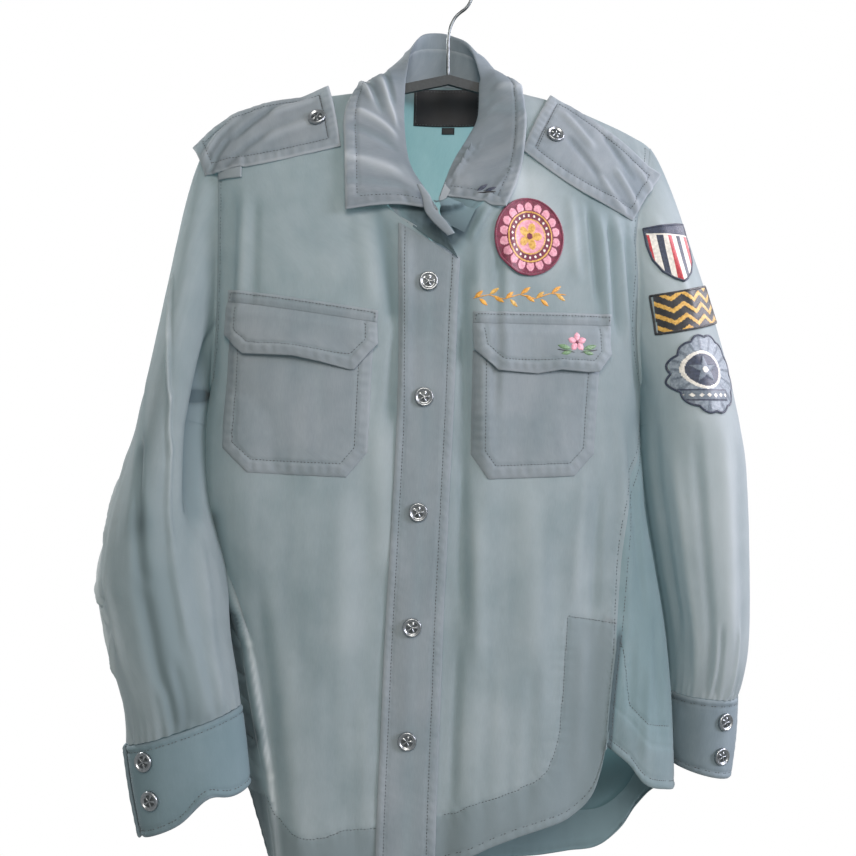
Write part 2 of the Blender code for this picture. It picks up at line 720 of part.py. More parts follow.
# Pockets, flaps and the bands above them
shapes = (
    ("pocket_right", POCKET_RIGHT, 6, 3, CLOTH), ("pocket_left", POCKET_LEFT, 6, 3, CLOTH),
    ("flap_band_right", TOP_RIGHT, 6, 1, DOUBLE_WALL),
    ("flap_band_left", TOP_LEFT, 6, 1, DOUBLE_WALL),
    ("flap_right", FLAP_RIGHT, 6, 2, DOUBLE_WALL), ("flap_left", FLAP_LEFT, 6, 2, DOUBLE_WALL),
)
laid = {}
for name, outline, cols, rows, thick in shapes:
    near = CLOTH / 2 + thick / 2 + 0.5
    if name.startswith("pocket"):
        need, lift, top_lift = near + POCKET_GAP - 0.5, near + POCKET_GAP, None
    elif name.startswith("flap_band"):
        need, lift, top_lift = near, near + 0.5, near
    else:
        need, lift, top_lift = near + 0.4, near + FLAP_LIFT, near + 0.8
    grid = outline_grid(outline, cols, rows, lift, top_lift)
    laid[name] = settle(grid, tree_of([(pts, False) for pts in panels.values()]), need)
    if name[:5] == "flap_" and name[5:] in ("left", "right"):
        pocket = tree_of([(laid["pocket_" + name[5:]], False)])
        laid[name][2:] = settle(laid[name][2:], pocket, CLOTH / 2 + thick / 2 + 1.2)
    wall(name, laid[name], thick, material(name, (0.25, 0.30, 0.32)))

wear_tree = tree_of([(pts, False) for pts in panels.values()] + [(s, True) for s in sleeves.values()])
laid_up = Vector((0, -0.75, 0.66))

# Shoulder straps and the loop under the right one
loop = outline_grid(LOOP_RIGHT, 3, 2, 1.9)
loop = settle(loop, wear_tree, CLOTH / 2 + 0.6 + LAY_GAP, laid_up)
wall("loop_right", loop, 1.2, material("loop_right", (0.20, 0.25, 0.27)))
strap_tree = tree_of([(pts, False) for pts in panels.values()] + [(s, True) for s in sleeves.values()]
                     + [(loop, False)])
straps = {}
for name, table in (("strap_right", STRAP_RIGHT), ("strap_left", STRAP_LEFT)):
    rows = []
    for j in range(5):
        w = j / 4
        row = []
        for tx, ty, td, bx, by, bd in table:
            p = Vector((tx, ty, -td)).lerp(Vector((bx, by, -bd)), w)
            row.append(p + laid_up * 5.0 * math.sin(math.pi * w) ** 0.8)
        rows.append(row)
    straps[name] = settle(rows, strap_tree, CLOTH / 2 + DOUBLE_WALL / 2 + LAY_GAP, laid_up)
    wall(name, straps[name], DOUBLE_WALL, material(name, (0.28, 0.32, 0.33)))


# Patches
def round_grid(cx, cd, rx, rd, count, lift):
    """Round outline laid on the front as a square grid pressed into a disc."""
    rows = []
    for j in range(count + 1):
        v = 2 * j / count - 1
        row = []
        for i in range(count + 1):
            u = 2 * i / count - 1
            row.append(front_point(cx + rx * u * math.sqrt(1 - v * v / 2),
                                   cd + rd * v * math.sqrt(1 - u * u / 2), lift))
        rows.append(row)
    return rows


patch = settle(round_grid(*CHEST_PATCH, 6, 2.2), body_tree, CLOTH / 2 + PATCH_WALL / 2 + LAY_GAP)
wall("chest_patch", patch, PATCH_WALL, material("chest_patch", (0.30, 0.03, 0.10)))

sleeve_tree = tree_of([(sleeves["sleeve_left"], True)])
across = Vector((0.893, 0.45, 0.0))


def sleeve_point(s, down):
    hit = sleeve_tree.ray_cast(across * s + Vector((0, 0, -down)) - SLEEVE_LOOK * 400, SLEEVE_LOOK)
    return hit[0] - SLEEVE_LOOK * 2.0


for name, outline in SLEEVE_PATCHES.items():
    if len(outline) == 4:
        (tl, tr, br, bl), rows = outline, []
        for j in range(3):
            a = [tl[c] + (bl[c] - tl[c]) * j / 2 for c in (0, 1)]
            b = [tr[c] + (br[c] - tr[c]) * j / 2 for c in (0, 1)]
            rows.append([sleeve_point(a[0] + (b[0] - a[0]) * i / 4, a[1] + (b[1] - a[1]) * i / 4)
                         for i in range(5)])
    else:
        tl, tm, tr, br, bm, bl = outline
        rows = []
        for j in range(4):
            ends = [(top[0] + (foot[0] - top[0]) * j / 3, top[1] + (foot[1] - top[1]) * j / 3)
                    for top, foot in ((tl, bl), (tm, bm), (tr, br))]
            row = []
            for i in range(5):
                a, b = (ends[0], ends[1]) if i < 2 else (ends[1], ends[2])
                w = i / 2 if i < 2 else (i - 2) / 2
                row.append(sleeve_point(a[0] + (b[0] - a[0]) * w, a[1] + (b[1] - a[1]) * w))
            rows.append(row)
    rows = settle(rows, sleeve_tree, CLOTH / 2 + PATCH_WALL / 2 + LAY_GAP, -SLEEVE_LOOK)
    wall(name, rows, PATCH_WALL, material(name, (0.10, 0.10, 0.11)))


# Neck label on the inner side of the back
def inner_grid(box, cols, rows, lift):
    x0, x1, d0, d1 = box
    grid = []
    for j in range(rows + 1):
        down = d0 + (d1 - d0) * j / rows
        row = []
        for i in range(cols + 1):
            a = arc_at(down, x0 + (x1 - x0) * i / cols, "B")
            row.append(on_body(a, down) - body_normal(a, down) * lift)
        grid.append(row)
    return grid


for name, box, cols in (("neck_label", LABEL, 5), ("size_tab", SIZE_TAB, 2)):
    need = CLOTH / 2 + LABEL_WALL / 2 + LAY_GAP
    rows = settle(inner_grid(box, cols, 2, need + 0.3), body_tree, need, Vector((0, -1, 0)))
    wall(name, rows, LABEL_WALL, material(name, (0.01, 0.01, 0.012)))


# Buttons, turned about their own axis
def button_mesh():
    """One button: a shallow dome with a rim, its back at z = 0."""
    r, h = BUTTON_DIA / 2, BUTTON_HEIGHT
    profile = [(0.0, 0.0), (r - 1.2, 0.0), (r, 1.0), (r - 0.9, h - 0.8), (r - 2.6, h - 1.2),
               (r - 4.4, h - 0.4), (0.0, h)]
    mesh = bpy.data.meshes.new("button")
    mesh.from_pydata([(x * MM, 0, z * MM) for x, z in profile[::-1]],
                     [(i, i + 1) for i in range(len(profile) - 1)], [])
    return mesh


BUTTON = button_mesh()
BUTTON_STEPS = 14


def button(name, tree, x, down, thick):
    hit = tree.ray_cast(Vector((x, -400, -down)), Vector((0, 1, 0)))
    n = hit[1] if hit[1].y < 0 else -hit[1]
    obj = bpy.data.objects.new(name, BUTTON.copy())
    PART.objects.link(obj)
    obj.data.materials.append(material(name, (0.55, 0.56, 0.57), 0.3, 1.0))
    mod = obj.modifiers.new("turn", "SCREW")
    mod.angle = 2 * math.pi
    mod.steps = mod.render_steps = BUTTON_STEPS
    mod.use_merge_vertices = True
    mod.merge_threshold = 0.00005
    obj.rotation_euler = n.to_track_quat("Z", "Y").to_euler()
    obj.location = (hit[0] + n * (thick / 2 + 0.45)) * MM


band_tree = tree_of([(band, False)])
for k, down in enumerate(FRONT_BUTTONS):
    x = smooth(BODY, down, 5) - 0.4 - 1.4 * min(1.0, (down - 300) / 100)
    button(f"button_front_{k + 1}", band_tree, x, down, DOUBLE_WALL)
for k, (host, x, down) in enumerate(STRAP_BUTTONS):
    button(f"button_{host}", tree_of([(straps[host], False)]), x, down, DOUBLE_WALL)
for k, (host, x, down) in enumerate(CUFF_BUTTONS):
    button(f"button_{host}_{k % 2 + 1}", tree_of([(cuffs[host], False)]), x, down, CUFF_WALL)


# Hanger: a flat bar through the shoulders and a round wire hook
def hanger_bar():
    rows = [(-x, d) for x, d in BAR[:0:-1]] + BAR
    verts, faces = [], []
    for x, d in rows:
        end = 0.5 if abs(x) == BAR[-1][0] else 1.0
        for y, z in ((-BAR_DEPTH / 2, 0), (BAR_DEPTH / 2, 0), (BAR_DEPTH / 2, -BAR_HEIGHT * end),
                     (-BAR_DEPTH / 2, -BAR_HEIGHT * end)):
            verts.append((x * MM, y * MM, (z - d) * MM))
    for i in range(len(rows) - 1):
        for c in range(4):
            a, b = i * 4 + c, i * 4 + (c + 1) % 4
            faces.append((a + 4, b + 4, b, a))
    faces += [(0, 1, 2, 3), tuple(len(verts) - 1 - c for c in range(4))]
    mesh = bpy.data.meshes.new("hanger_bar")
    mesh.from_pydata(verts, [], faces)
    mesh.update()
    add_object("hanger_bar", mesh, material("hanger_bar", (0.05, 0.06, 0.065)), shade=False)


def hanger_hook():
    """Stem up from the bar, then most of a circle open to the viewer's left."""
    pts = [(0, 100.4), (0, 78), (0.3, 66), (2.6, 55), (7.0, 46.5)]
    for ang in range(-58, 206, 12):
        t = math.radians(ang)
        pts.append((HOOK_RADIUS * math.cos(t), HOOK_CENTRE_DOWN - HOOK_RADIUS * math.sin(t)))
    data = bpy.data.curves.new("hanger_hook", "CURVE")
    data.dimensions = "3D"
    line = data.splines.new("POLY")
    line.points.add(len(pts) - 1)
    for k, (x, d) in enumerate(pts):
        line.points[k].co = (x * MM, 0.0, -d * MM, 1.0)
    data.bevel_depth = HOOK_WIRE / 2 * MM
    data.bevel_resolution = 1
    data.use_fill_caps = True
    obj = bpy.data.objects.new("hanger_hook", data)
    PART.objects.link(obj)
    data.materials.append(material("hanger_hook", (0.45, 0.46, 0.48), 0.3, 1.0))


hanger_bar()
hanger_hook()
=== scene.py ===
"""Shirt jacket of washed cotton on a hanger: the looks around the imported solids."""
import json
import math

import bpy
import numpy as np
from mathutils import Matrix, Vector
from mathutils.bvhtree import BVHTree

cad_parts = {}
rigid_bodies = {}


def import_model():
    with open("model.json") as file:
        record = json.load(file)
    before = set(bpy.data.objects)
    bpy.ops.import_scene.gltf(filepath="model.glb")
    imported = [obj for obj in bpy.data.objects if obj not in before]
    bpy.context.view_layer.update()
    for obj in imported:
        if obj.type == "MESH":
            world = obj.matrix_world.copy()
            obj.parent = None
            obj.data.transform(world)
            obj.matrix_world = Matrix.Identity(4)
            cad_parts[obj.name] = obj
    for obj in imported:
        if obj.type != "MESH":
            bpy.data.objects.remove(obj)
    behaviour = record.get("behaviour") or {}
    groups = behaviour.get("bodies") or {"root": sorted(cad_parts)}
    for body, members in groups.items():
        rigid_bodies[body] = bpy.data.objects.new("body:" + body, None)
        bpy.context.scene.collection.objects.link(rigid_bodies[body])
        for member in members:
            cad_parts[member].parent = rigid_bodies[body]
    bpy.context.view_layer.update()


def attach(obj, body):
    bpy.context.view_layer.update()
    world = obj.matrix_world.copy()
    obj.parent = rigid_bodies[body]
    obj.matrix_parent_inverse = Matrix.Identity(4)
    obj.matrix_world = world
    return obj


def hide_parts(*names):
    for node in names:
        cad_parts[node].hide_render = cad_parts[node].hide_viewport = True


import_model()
for spare in ("Cube", "Light", "Camera"):
    if spare in bpy.data.objects:
        bpy.data.objects.remove(bpy.data.objects[spare], do_unlink=True)

MM = 0.001
PI = math.pi


def rows_of(text):
    """Rows of numbers, parted by semicolons."""
    return [tuple(map(float, row.split())) for row in text.split(";")]


# Camera, found from the photograph: turned 6 degrees, level with the chest
VIEW_TURN = math.radians(-6.0)
VIEW_BACK, VIEW_DOWN, VIEW_LEFT = 1.075, 0.431, 0.0187
FRAME_PIXELS, FOCAL_PIXELS, SENSOR = 856, 1149, 36.0
LEAF_PIXEL = (486, 188)

# The cut, in millimetres; x to the viewer's right, y away, down below the hook
SECTION_POWER = 3
FALL_LENGTH = 200.0
FALL_POWER = 0.6
TIP_DOWN = 166.0
UNDERARM_DOWN = 405.0
ARM_CURVE_DOWN = 325.0
ARM_INSET = 4.0
PARTING_DOWN = 712.0
SEAM_ROWS = 9
SHOULDER_COLS = 9
BACK_NECK_COLS = 6
ARM_STEPS = [0.0, 0.05, 0.14, 0.27, 0.43, 0.61, 0.79, 0.93, 1.0]
NECK_STEPS = [0.0, 0.27, 0.52, 0.75, 0.92, 1.0]
NECK_ROWS = len(NECK_STEPS) - 1
TOPSTITCH = 11.0
SEAM_STITCH = 6.5
HEM_STITCH = 8.0
BACK_HEM = 38.0
VENT_TOP, VENT_FULL = 600, 630
CLOTH_CELL, BACK_CELL = 2.4, 3.0

# down, centre x, half width, front depth, back depth, placket centre x
BODY = rows_of("""
    100 -10 207 71 52 -18; 165 -10 207 72 54 -20; 232 -17 198 74 56 -24; 300 -20 195 76 58 -26;
    405 -20 197 78 62 -29; 500 -16 200 79 65 -34; 555 -8 201 79 66 -37; 610 1 201 79 67 -40;
    685 8 201 79 68 -43; 760 14 198 79 68 -46; 870 18 194 79 68 -49""")
RIDGE = rows_of("""
    -250 220; -217 167; -203 149; -181 139; -150 130; -112 124.5; -90 121.5; -80 120; -60 90; -40 66;
    -12 50; 20 62; 42 88; 60 115; 70 116.5; 98 123; 145 140; 180 156; 197 167; 230 220""")
NECK_RIGHT = rows_of("""
    -26 267; -52 252; -68 226; -80 190; -85 150; -80 120""")
NECK_LEFT = rows_of("""
    -22 267; -5 255; 16 239; 38 220; 56 190; 64 150; 60 115""")
NECK_BACK = rows_of("""
    60 115; 44 110; 18 105; -10 104; -38 106; -62 112; -80 120""")
SEAM_LEFT = rows_of("""
    405 3; 440 30; 470 52; 521 75; 560 87; 609 100; 650 110; 690 117.5; 712 120.5""")
SEAM_RIGHT = rows_of("""
    405 0; 521 -12; 609 -18; 660 -14; 712 0""")
# Hems: x, down, and the half they lie on where that isn't the front
HEM_LEFT = rows_of("""
    127 737; 120 756; 110 768; 97 775.5; 63 784; 37 791; 16 800; -20 813; -43 819""")
HEM_RIGHT = rows_of("""
    -181 754; -174 790; -163 818; -140 836; -105 838; -70 828; -50 819""")
HEM_BACK = [(138, 718), (152, 728), (170, 751), (197, 761), (213, 773, "B"), (205, 785, "B"),
            (194, 800, "B"), (187, 822, "B"), (160, 848, "B"), (110, 856, "B"), (38, 860, "B"),
            (-40, 860, "B"), (-100, 850, "B"), (-145, 822, "B"), (-170, 780, "B"), (-181, 742, "B")]
# start, end (both: millimetres from the placket, down), half width, height
FOLDS = rows_of("""
    36 250 34 520 13 -4; 62 235 56 600 16 3.5; 120 420 100 700 34 4; 165 470 150 800 18 -4;
    -90 470 -70 800 45 4.5; -165 500 -140 800 22 -4.5; -45 420 -42 800 16 -2.5; 330 300 340 800 40 5;
    470 300 470 800 45 -4; 610 300 600 800 40 5""")
# Sleeves below the armhole: outer x, outer down, inner x, inner down, centre y, depth
SLEEVE_RIGHT = rows_of("""
    -283 433 -220 433 -10 152; -292 470 -219.5 472 -20 144; -302 506 -216 503 -32 134;
    -310.6 558 -206 545 -48 110; -305 590 -201 575 -56 104; -295 630 -196 612 -67 98;
    -284 668 -190 643 -76 84; -280.6 694.5 -187 664 -84 58""")
CUFF_RIGHT = rows_of("""
    -280.6 695.8 -187 665.3 -84 57; -274 732 -183 698 -88 55; -267 769.5 -179 730 -91 53""")
SLEEVE_LEFT = rows_of("""
    275 432 182 432 -2 137; 281 470 185 470 0 130; 284 520 192.5 518 2 124; 286.5 570 201 566 5 116;
    287 620 210 614 7 110; 284.5 660 214.5 652 9 96; 280 688 215.5 682 10 76""")
CUFF_LEFT = rows_of("""
    280 689 215.5 683 10 75; 277 728 216 718 10 73; 273 764 216.5 751 10 72""")
SLEEVE_HEAD = {1: (16, 15), -1: (27, 25)}

# Collar stations: roll line x, y, z, outer edge x, y, z
COLLAR = rows_of("""
    0 -19 -80 -242 -98 -76 -241; 1 -29 -64 -221 -98 -66 -215; 2 -41 -50 -195 -98 -54 -187;
    3 -44 -32 -157 -98 -38 -152; 4 -42 -13 -120 -92 -20 -129; 5 -40 -4 -104 -82 0 -112;
    6 -34 14 -75 -66 32 -109; 7 -22 38 -53 -40 56 -109; 8 -6 46 -47 -6 64 -110; 9 9 40 -51 28 54 -108;
    10 24 22 -66 52 30 -105; 11 30 -3 -101 65 2 -104; 12 28.5 -9 -113 67 -22 -121;
    13 25 -22 -146 66 -42 -150; 14 14 -35 -168 61 -55 -183; 15 -1 -49 -194 53 -67 -212;
    16 -15 -64 -228 41 -79 -236""")
STAND_SHARE = 0.72
STAND_TIP = [
    ((-1, -82.5, -285), (-12, -88, -263), (-4, -85, -263)),
    ((-14, -82, -274), (-19, -88, -256), (-12, -83, -251)),
]
# Placket band: down, left edge from the centre, right edge, lift of the right edge
BAND = rows_of("""
    283 -27 26 2; 330 -25 24 2.5; 430 -24 23 3; 560 -24 24 3; 700 -24.5 25 3; 818 -25 25 3""")
BAND_TOP_LEFT, BAND_TOP_RIGHT, BAND_HEM = 253.5, 283.0, 820.0
FRONT_BUTTONS = [304, 404, 503.5, 602.5, 700.5]
POCKET_RIGHT = [(-200, 346), (-75, 358), (-80, 452), (-98, 473), (-183, 469), (-204, 448)]
POCKET_LEFT = [(13, 364), (128, 370), (121, 454), (102, 473), (25, 475), (11, 454)]
FLAP_RIGHT = [(-201, 321.2), (-71.5, 340.8), (-71, 359), (-91, 378), (-184, 367), (-201, 350)]
FLAP_LEFT = [(13, 340.6), (136.5, 340.8), (136, 367), (124, 382), (33, 381), (15, 363)]
TOP_RIGHT = [(-201, 310), (-70.5, 330), (-71.5, 340), (-201, 320.4)]
TOP_LEFT = [(13, 330), (137.5, 330), (136.5, 340), (13, 339.8)]
# Shoulder straps, inner end to outer end: top x, y, down, bottom x, y, down
STRAP_RIGHT = rows_of("""
    -112 -6 116 -102 -47 180; -140 -3 127 -128 -45 186.5; -168 -1 133 -157 -42 193;
    -190 -1 140 -180 -37 197; -212 -1 152 -203 -28 199.5; -235 -4 175 -223 -16 203""")
STRAP_LEFT = rows_of("""
    97 -4 118 62 -51 180; 119 -6 132 87 -54 199.5; 139 -11 148 114 -54 216.5;
    169 -15.5 171.5 139 -50 228; 187 -13 184 155 -43 235; 202 -9 193.5 168 -34 240""")
LOOP_RIGHT = [(-209, 194), (-189, 190), (-189, 208), (-209, 208)]
CHEST_PATCH = (62.9, 262.8, 30.8, 34.0)
LABEL = (-29, 34, 106, 139)
SIZE_TAB = (-1, 11, 139.8, 146)
STRAP_BUTTONS = [("strap_right", -122, 153), ("strap_left", 93.5, 164)]
CUFF_BUTTONS = [("cuff_right", -263.5, 704), ("cuff_right", -258, 735),
                ("cuff_left", 257.5, 706), ("cuff_left", 254, 738)]
# Flat lines where the facings are sewn: x, down
FACING_LEFT = rows_of("""
    143.6 605; 97.5 596.5; 95.7 614.4; 92.6 664.2; 89.4 697.7; 84.1 716.1; 77.3 730.9; 67.1 739.4;
    43.9 748.3; 6.7 758.5; -3 765.1; -16 767.5""")
FACING_RIGHT = rows_of("""
    -163 752; -158 768; -151 775.5; -142.7 782.7; -129.8 785.8; -116.9 784.6; -100.5 778.2; -70.9 775.8""")
FACING_RIGHT_END = (-50, 776)
FACING_SIDE = rows_of("""
    147 622; 150.2 631.2; 156.6 679.1; 172.3 696.7; 188.5 701.6; 200 704""")
HOOK_RADIUS, HOOK_CENTRE, WIRE_RADIUS = 23.2, 21.7, 1.5
# Creases on the fronts: start x, down, end x, down, half width, height; the
# middle of the crease is high and both its sides dip
FRONT_CREASES = rows_of("""
    -46 262 -48 420 7 2.4; -67 244 -54 350 9 -4.2; -84 244 -74 330 11 2.2; -54 346 -62 430 6 -2.6;
    -70 420 -66 560 14 2.4; -60 560 -58 720 12 -2.2; 2 280 8 440 6 -3.2; 16 262 22 470 9 3.2;
    27 236 10 268 4 3.4; 36 262 30 420 5 -2.4; 46 250 44 330 7 1.8; 4 440 4 600 6 -3.2;
    15 500 16 640 10 2.2; 0 620 -6 760 5 -2.2; 103 222 108 300 6 2; 121 228 127 322 4 -3.2;
    131 236 137 350 5 3.8; 141 238 147 350 4 -3.4; 149 238 158 360 5 3.4; 160 240 170 400 5 -3.6;
    170 262 178 430 5 3; 148 420 160 640 8 2.6; 160 430 172 600 6 -3; 112 470 104 590 10 1.8;
    128 480 122 600 6 -2; -196 215 -200 420 7 -2.8; -186 220 -190 330 8 2.2; -176 230 -178 320 6 -1.6;
    -203 556 -182 619 4 3.6; -182 619 -163 735 4 3.8; -163 735 -154 830 4 3.2; -206 585 -192 596 4 -2.6;
    -204 606 -188 622 4 2.8; -200 640 -184 650 4 -2.8; -198 664 -180 680 4 2.6;
    -194 694 -176 706 4 -2.6; -188 722 -172 738 4 2.4; -172 560 -152 780 9 -2.4;
    -150 600 -132 830 14 2.2; -100 480 -96 640 16 2; -112 640 -104 780 14 -1.8; -82 660 -80 800 10 1.6;
    60 480 66 640 18 2.2; 90 520 86 700 14 -2; 36 640 30 790 10 1.6; 64 640 60 770 8 -1.6;
    112 610 106 740 9 1.8; 176 640 170 730 6 2.2; 184 600 190 730 6 -2.4; 162 560 156 700 6 -2""")
BACK_CREASES = rows_of("""
    -150 190 -60 300 14 1.6; 130 190 60 320 14 1.6; -120 260 -100 640 18 1.8; 100 280 80 700 20 1.8;
    0 330 -10 780 22 1.6; -60 420 -50 800 12 -1.4; 50 460 40 820 12 -1.3; 160 420 140 760 12 1.5;
    -170 440 -150 720 12 1.5""")
# Painted shade and highlight on the panels: start x, down, end x, down, half width, amount
PANEL_PAINTED_LIGHT = {
    "front_left": rows_of("""
        62 215 70 275 24 0.28; -6 266 10 240 10 -1.5; 18 252 12 300 5 -0.3; 128 225 136 330 16 -0.34;
        165 250 176 420 16 -0.28; 168 430 176 700 20 -0.3"""),
    "front_right": rows_of("""
        -214 510 -198 600 8 -1; -197 600 -180 700 9 -1.3; -181 700 -171 800 9 -1.1;
        -203 556 -182 619 3.2 0.45; -182 619 -163 735 3.2 0.45; -163 735 -155 830 3.2 0.4;
        -70 240 -58 330 5 -0.4; -130 225 -126 260 24 -0.08"""),
    "back": rows_of("""
        -216 480 -206 600 14 -1.1; -206 600 -186 740 16 -1.2; -214 345 -208 390 12 -0.6;
        -226 404 -190 404 5 -1.5; -212 420 -206 480 12 -0.6; 160 500 185 700 26 -0.3"""),
}
# Painted shade on the inside of the tail, seen past the side opening
TAIL_PAINTED_SHADE = rows_of("""
    60 815 190 765 34 -0.9; 60 850 205 800 30 -0.5""")
# Creases on the sleeves: start turn, down, end turn, down (turn: 0 outer,
# 90 front, 180 inner, 270 back), half width, height
SLEEVE_CREASES = {
    1: rows_of("""
        70 210 95 300 5 2.6; 95 200 118 330 5 -3; 120 215 130 360 5 2.6; 40 230 60 330 7 1.6;
        75 430 80 640 14 2.4; 106 430 108 690 9 -2.8; 130 440 126 680 8 2.2; 50 440 52 700 13 -1.8;
        24 420 26 700 12 1.8; 92 610 93 692 5 -2.2; 62 610 66 692 5 2; 150 420 150 640 9 -2.4;
        250 260 255 660 14 3.2; 300 300 295 660 12 -3; 215 300 220 640 12 2.8; 330 560 350 620 8 1.8"""),
    -1: rows_of("""
        26 292 62 356 3.4 2.8; 57 345 92 412 3.6 3; 89 398 105 456 3.8 3; 103 440 110 530 4 3;
        109 515 112 610 5 2.2; 14 390 57 450 6 -2.6; 55 440 74 500 7 -3.6; 72 490 82 560 8 -3.8;
        80 550 82 690 9 -3.6; 36 470 44 640 7 2.6; 132 318 140 520 15 -9; 116 520 118 690 9 2.4;
        140 520 134 680 9 2.6; 22 440 34 560 4 2.6; 10 470 30 530 3.5 3.2; 4 520 34 580 3.5 -3.4;
        8 560 34 600 3.5 3.4; 10 600 30 570 3 -3; 12 640 36 600 3.5 3.2; 10 660 30 700 4 -2.8;
        -6 500 10 640 3.5 2.6; -12 430 4 520 3.5 2.4; 250 280 252 660 14 3.2; 300 300 300 660 12 -3;
        215 300 214 640 12 2.6; 78 640 80 696 6 2.4; 98 620 98 696 6 -2.2; 70 200 78 260 5 2.6;
        100 205 110 300 6 -2.2"""),
}
# Painted shade and highlight on the sleeves: start turn, down, end turn, down, half width, amount
SLEEVE_PAINTED_LIGHT = {
    1: rows_of("""
        176 250 178 690 4 -0.7; 70 230 100 690 60 0.2"""),
    -1: rows_of("""
        28 300 60 353 3.4 0.12; 60 353 91 406 3.4 0.12; 91 406 104 450 3.4 0.1;
        104 450 110 540 3.6 0.06; 30 400 62 450 10 -0.42; 60 450 78 510 13 -0.5;
        100 560 104 690 26 -0.2; 78 510 90 690 14 -0.4; -6 400 4 640 20 0.4; -10 430 -2 680 9 0.7;
        100 220 120 690 50 -0.18; 124 330 126 400 3 -0.5; 126 400 128 500 3 -0.6;
        148 345 148 395 14 -0.45; 148 412 146 500 12 -0.4; 128 404 175 402 5 -1.4"""),
}


def smooth(rows, key, col):
    """Value of one table column at a key, by a smooth line through the rows."""
    keys = [row[0] for row in rows]
    vals = [row[col] for row in rows]
    if key <= keys[0]:
        return vals[0]
    if key >= keys[-1]:
        return vals[-1]
    i = int(np.searchsorted(keys, key, side="right")) - 1
    step = keys[i + 1] - keys[i]
    s = (key - keys[i]) / step

    def slope(k):
        a, b = max(k - 1, 0), min(k + 1, len(keys) - 1)
        return (vals[b] - vals[a]) / (keys[b] - keys[a])

    return ((2 * s ** 3 - 3 * s * s + 1) * vals[i] + (s ** 3 - 2 * s * s + s) * step * slope(i)
            + (3 * s * s - 2 * s ** 3) * vals[i + 1] + (s ** 3 - s * s) * step * slope(i + 1))


def column(rows, col):
    dense = np.linspace(rows[0][0], rows[-1][0], 800)
    vals = np.array([smooth(rows, k, col) for k in dense])
    return lambda key: np.interp(key, dense, vals)


# The body's level sections, sampled at even shares of the girth
FIRST_DOWN, LAST_DOWN, DOWN_STEP, SHARES, QUARTER = 90.0, 885, 2.5, 1200, 360
DOWNS = np.arange(FIRST_DOWN, LAST_DOWN, DOWN_STEP)
X_LINE = np.arange(-240.0, 240.0, 1.0)


def section(down):
    """One section: its x and y by share, its girth, front and back arcs by x, and both side arcs."""
    centre, half, front_deep, back_deep, placket = [smooth(BODY, down, k) for k in range(1, 6)]
    turn = np.linspace(-PI / 2, 1.5 * PI, 4 * QUARTER + 1)
    c, s = np.cos(turn), np.sin(turn)
    x = centre + half * np.sign(c) * np.abs(c) ** (2 / SECTION_POWER)
    y = np.where(s < 0, front_deep, back_deep) * np.sign(s) * np.abs(s) ** (2 / SECTION_POWER)
    arc = np.concatenate([[0], np.cumsum(np.hypot(np.diff(x), np.diff(y)))])
    girth = arc[-1]
    first, rear, last = slice(QUARTER + 1), slice(QUARTER, 3 * QUARTER + 1), slice(3 * QUARTER, None)
    start = float(np.interp(placket, x[last], arc[last]))
    by_share = (start + np.arange(SHARES + 1) / SHARES * girth) % girth
    before = np.interp(X_LINE, x[last], arc[last]) - start
    after = np.interp(X_LINE, x[first], arc[first]) + girth - start
    return (np.interp(by_share, arc, x), np.interp(by_share, arc, y), girth,
            np.where(X_LINE < x[0], before, after),
            np.interp(-X_LINE, -x[rear], arc[rear]) + girth - start,
            float(arc[QUARTER] + girth - start), float(arc[3 * QUARTER] - start))


SECT_X, SECT_Y, GIRTH, FRONT_ARC, BACK_ARC, SIDE_R, SIDE_L = map(np.array, zip(*map(section, DOWNS)))
RIDGE_AT = column(RIDGE, 1)


def look_up(grid, down, col):
    """Bilinear value of a table by height and column place."""
    r = np.clip((np.asarray(down, float) - FIRST_DOWN) / DOWN_STEP, 0, len(DOWNS) - 1.001)
    c = np.clip(col, 0, grid.shape[1] - 1.001)
    i, j = r.astype(int), c.astype(int)
    u, v = r - i, c - j
    return ((grid[i, j] * (1 - v) + grid[i, j + 1] * v) * (1 - u)
            + (grid[i + 1, j] * (1 - v) + grid[i + 1, j + 1] * v) * u)


def girth_at(down):
    return np.interp(down, DOWNS, GIRTH)


def arc_at(down, x, half):
    return look_up(FRONT_ARC if half == "F" else BACK_ARC, down, np.asarray(x, float) - X_LINE[0])


def on_arc(points, half="F"):
    """Flat points (x, down, and a half of their own) as (arc, down)."""
    return [(float(arc_at(d, x, own[0] if own else half)), d) for x, d, *own in points]


def side_arc(down, side):
    return np.interp(down, DOWNS, SIDE_R if side > 0 else SIDE_L)


def bump_line(gap, width):
    """Cross section of a crease: high in the middle, with shallow dips beside it."""
    q = (gap / width) ** 2
    return (1 - 0.8 * q) * np.exp(-q)


def creases(u, v, table):
    total = np.zeros(np.broadcast(u, v).shape)
    for u0, v0, u1, v1, width, height in table:
        du, dv = u1 - u0, v1 - v0
        size = math.hypot(du, dv)
        s = ((u - u0) * du + (v - v0) * dv) / size ** 2
        gap = ((u - u0) * dv - (v - v0) * du) / size
        ends = np.clip(1.15 - np.abs(2 * s - 1), 0, 0.55) / 0.55
        total += height * bump_line(gap, width) * ends * ends * (3 - 2 * ends)
    return total


def noise(u, v, seed):
    """Smooth value noise, one cell a unit, between -1 and 1."""
    rng = np.random.RandomState(seed)
    lattice = rng.rand(64, 64) * 2 - 1
    u, v = np.broadcast_arrays(np.asarray(u, float), np.asarray(v, float))
    i, j = np.floor(u).astype(int), np.floor(v).astype(int)
    a, b = u - i, v - j
    a, b = a * a * (3 - 2 * a), b * b * (3 - 2 * b)
    i0, i1, j0, j1 = i % 64, (i + 1) % 64, j % 64, (j + 1) % 64
    return ((lattice[i0, j0] * (1 - a) + lattice[i1, j0] * a) * (1 - b)
            + (lattice[i0, j1] * (1 - a) + lattice[i1, j1] * a) * b)


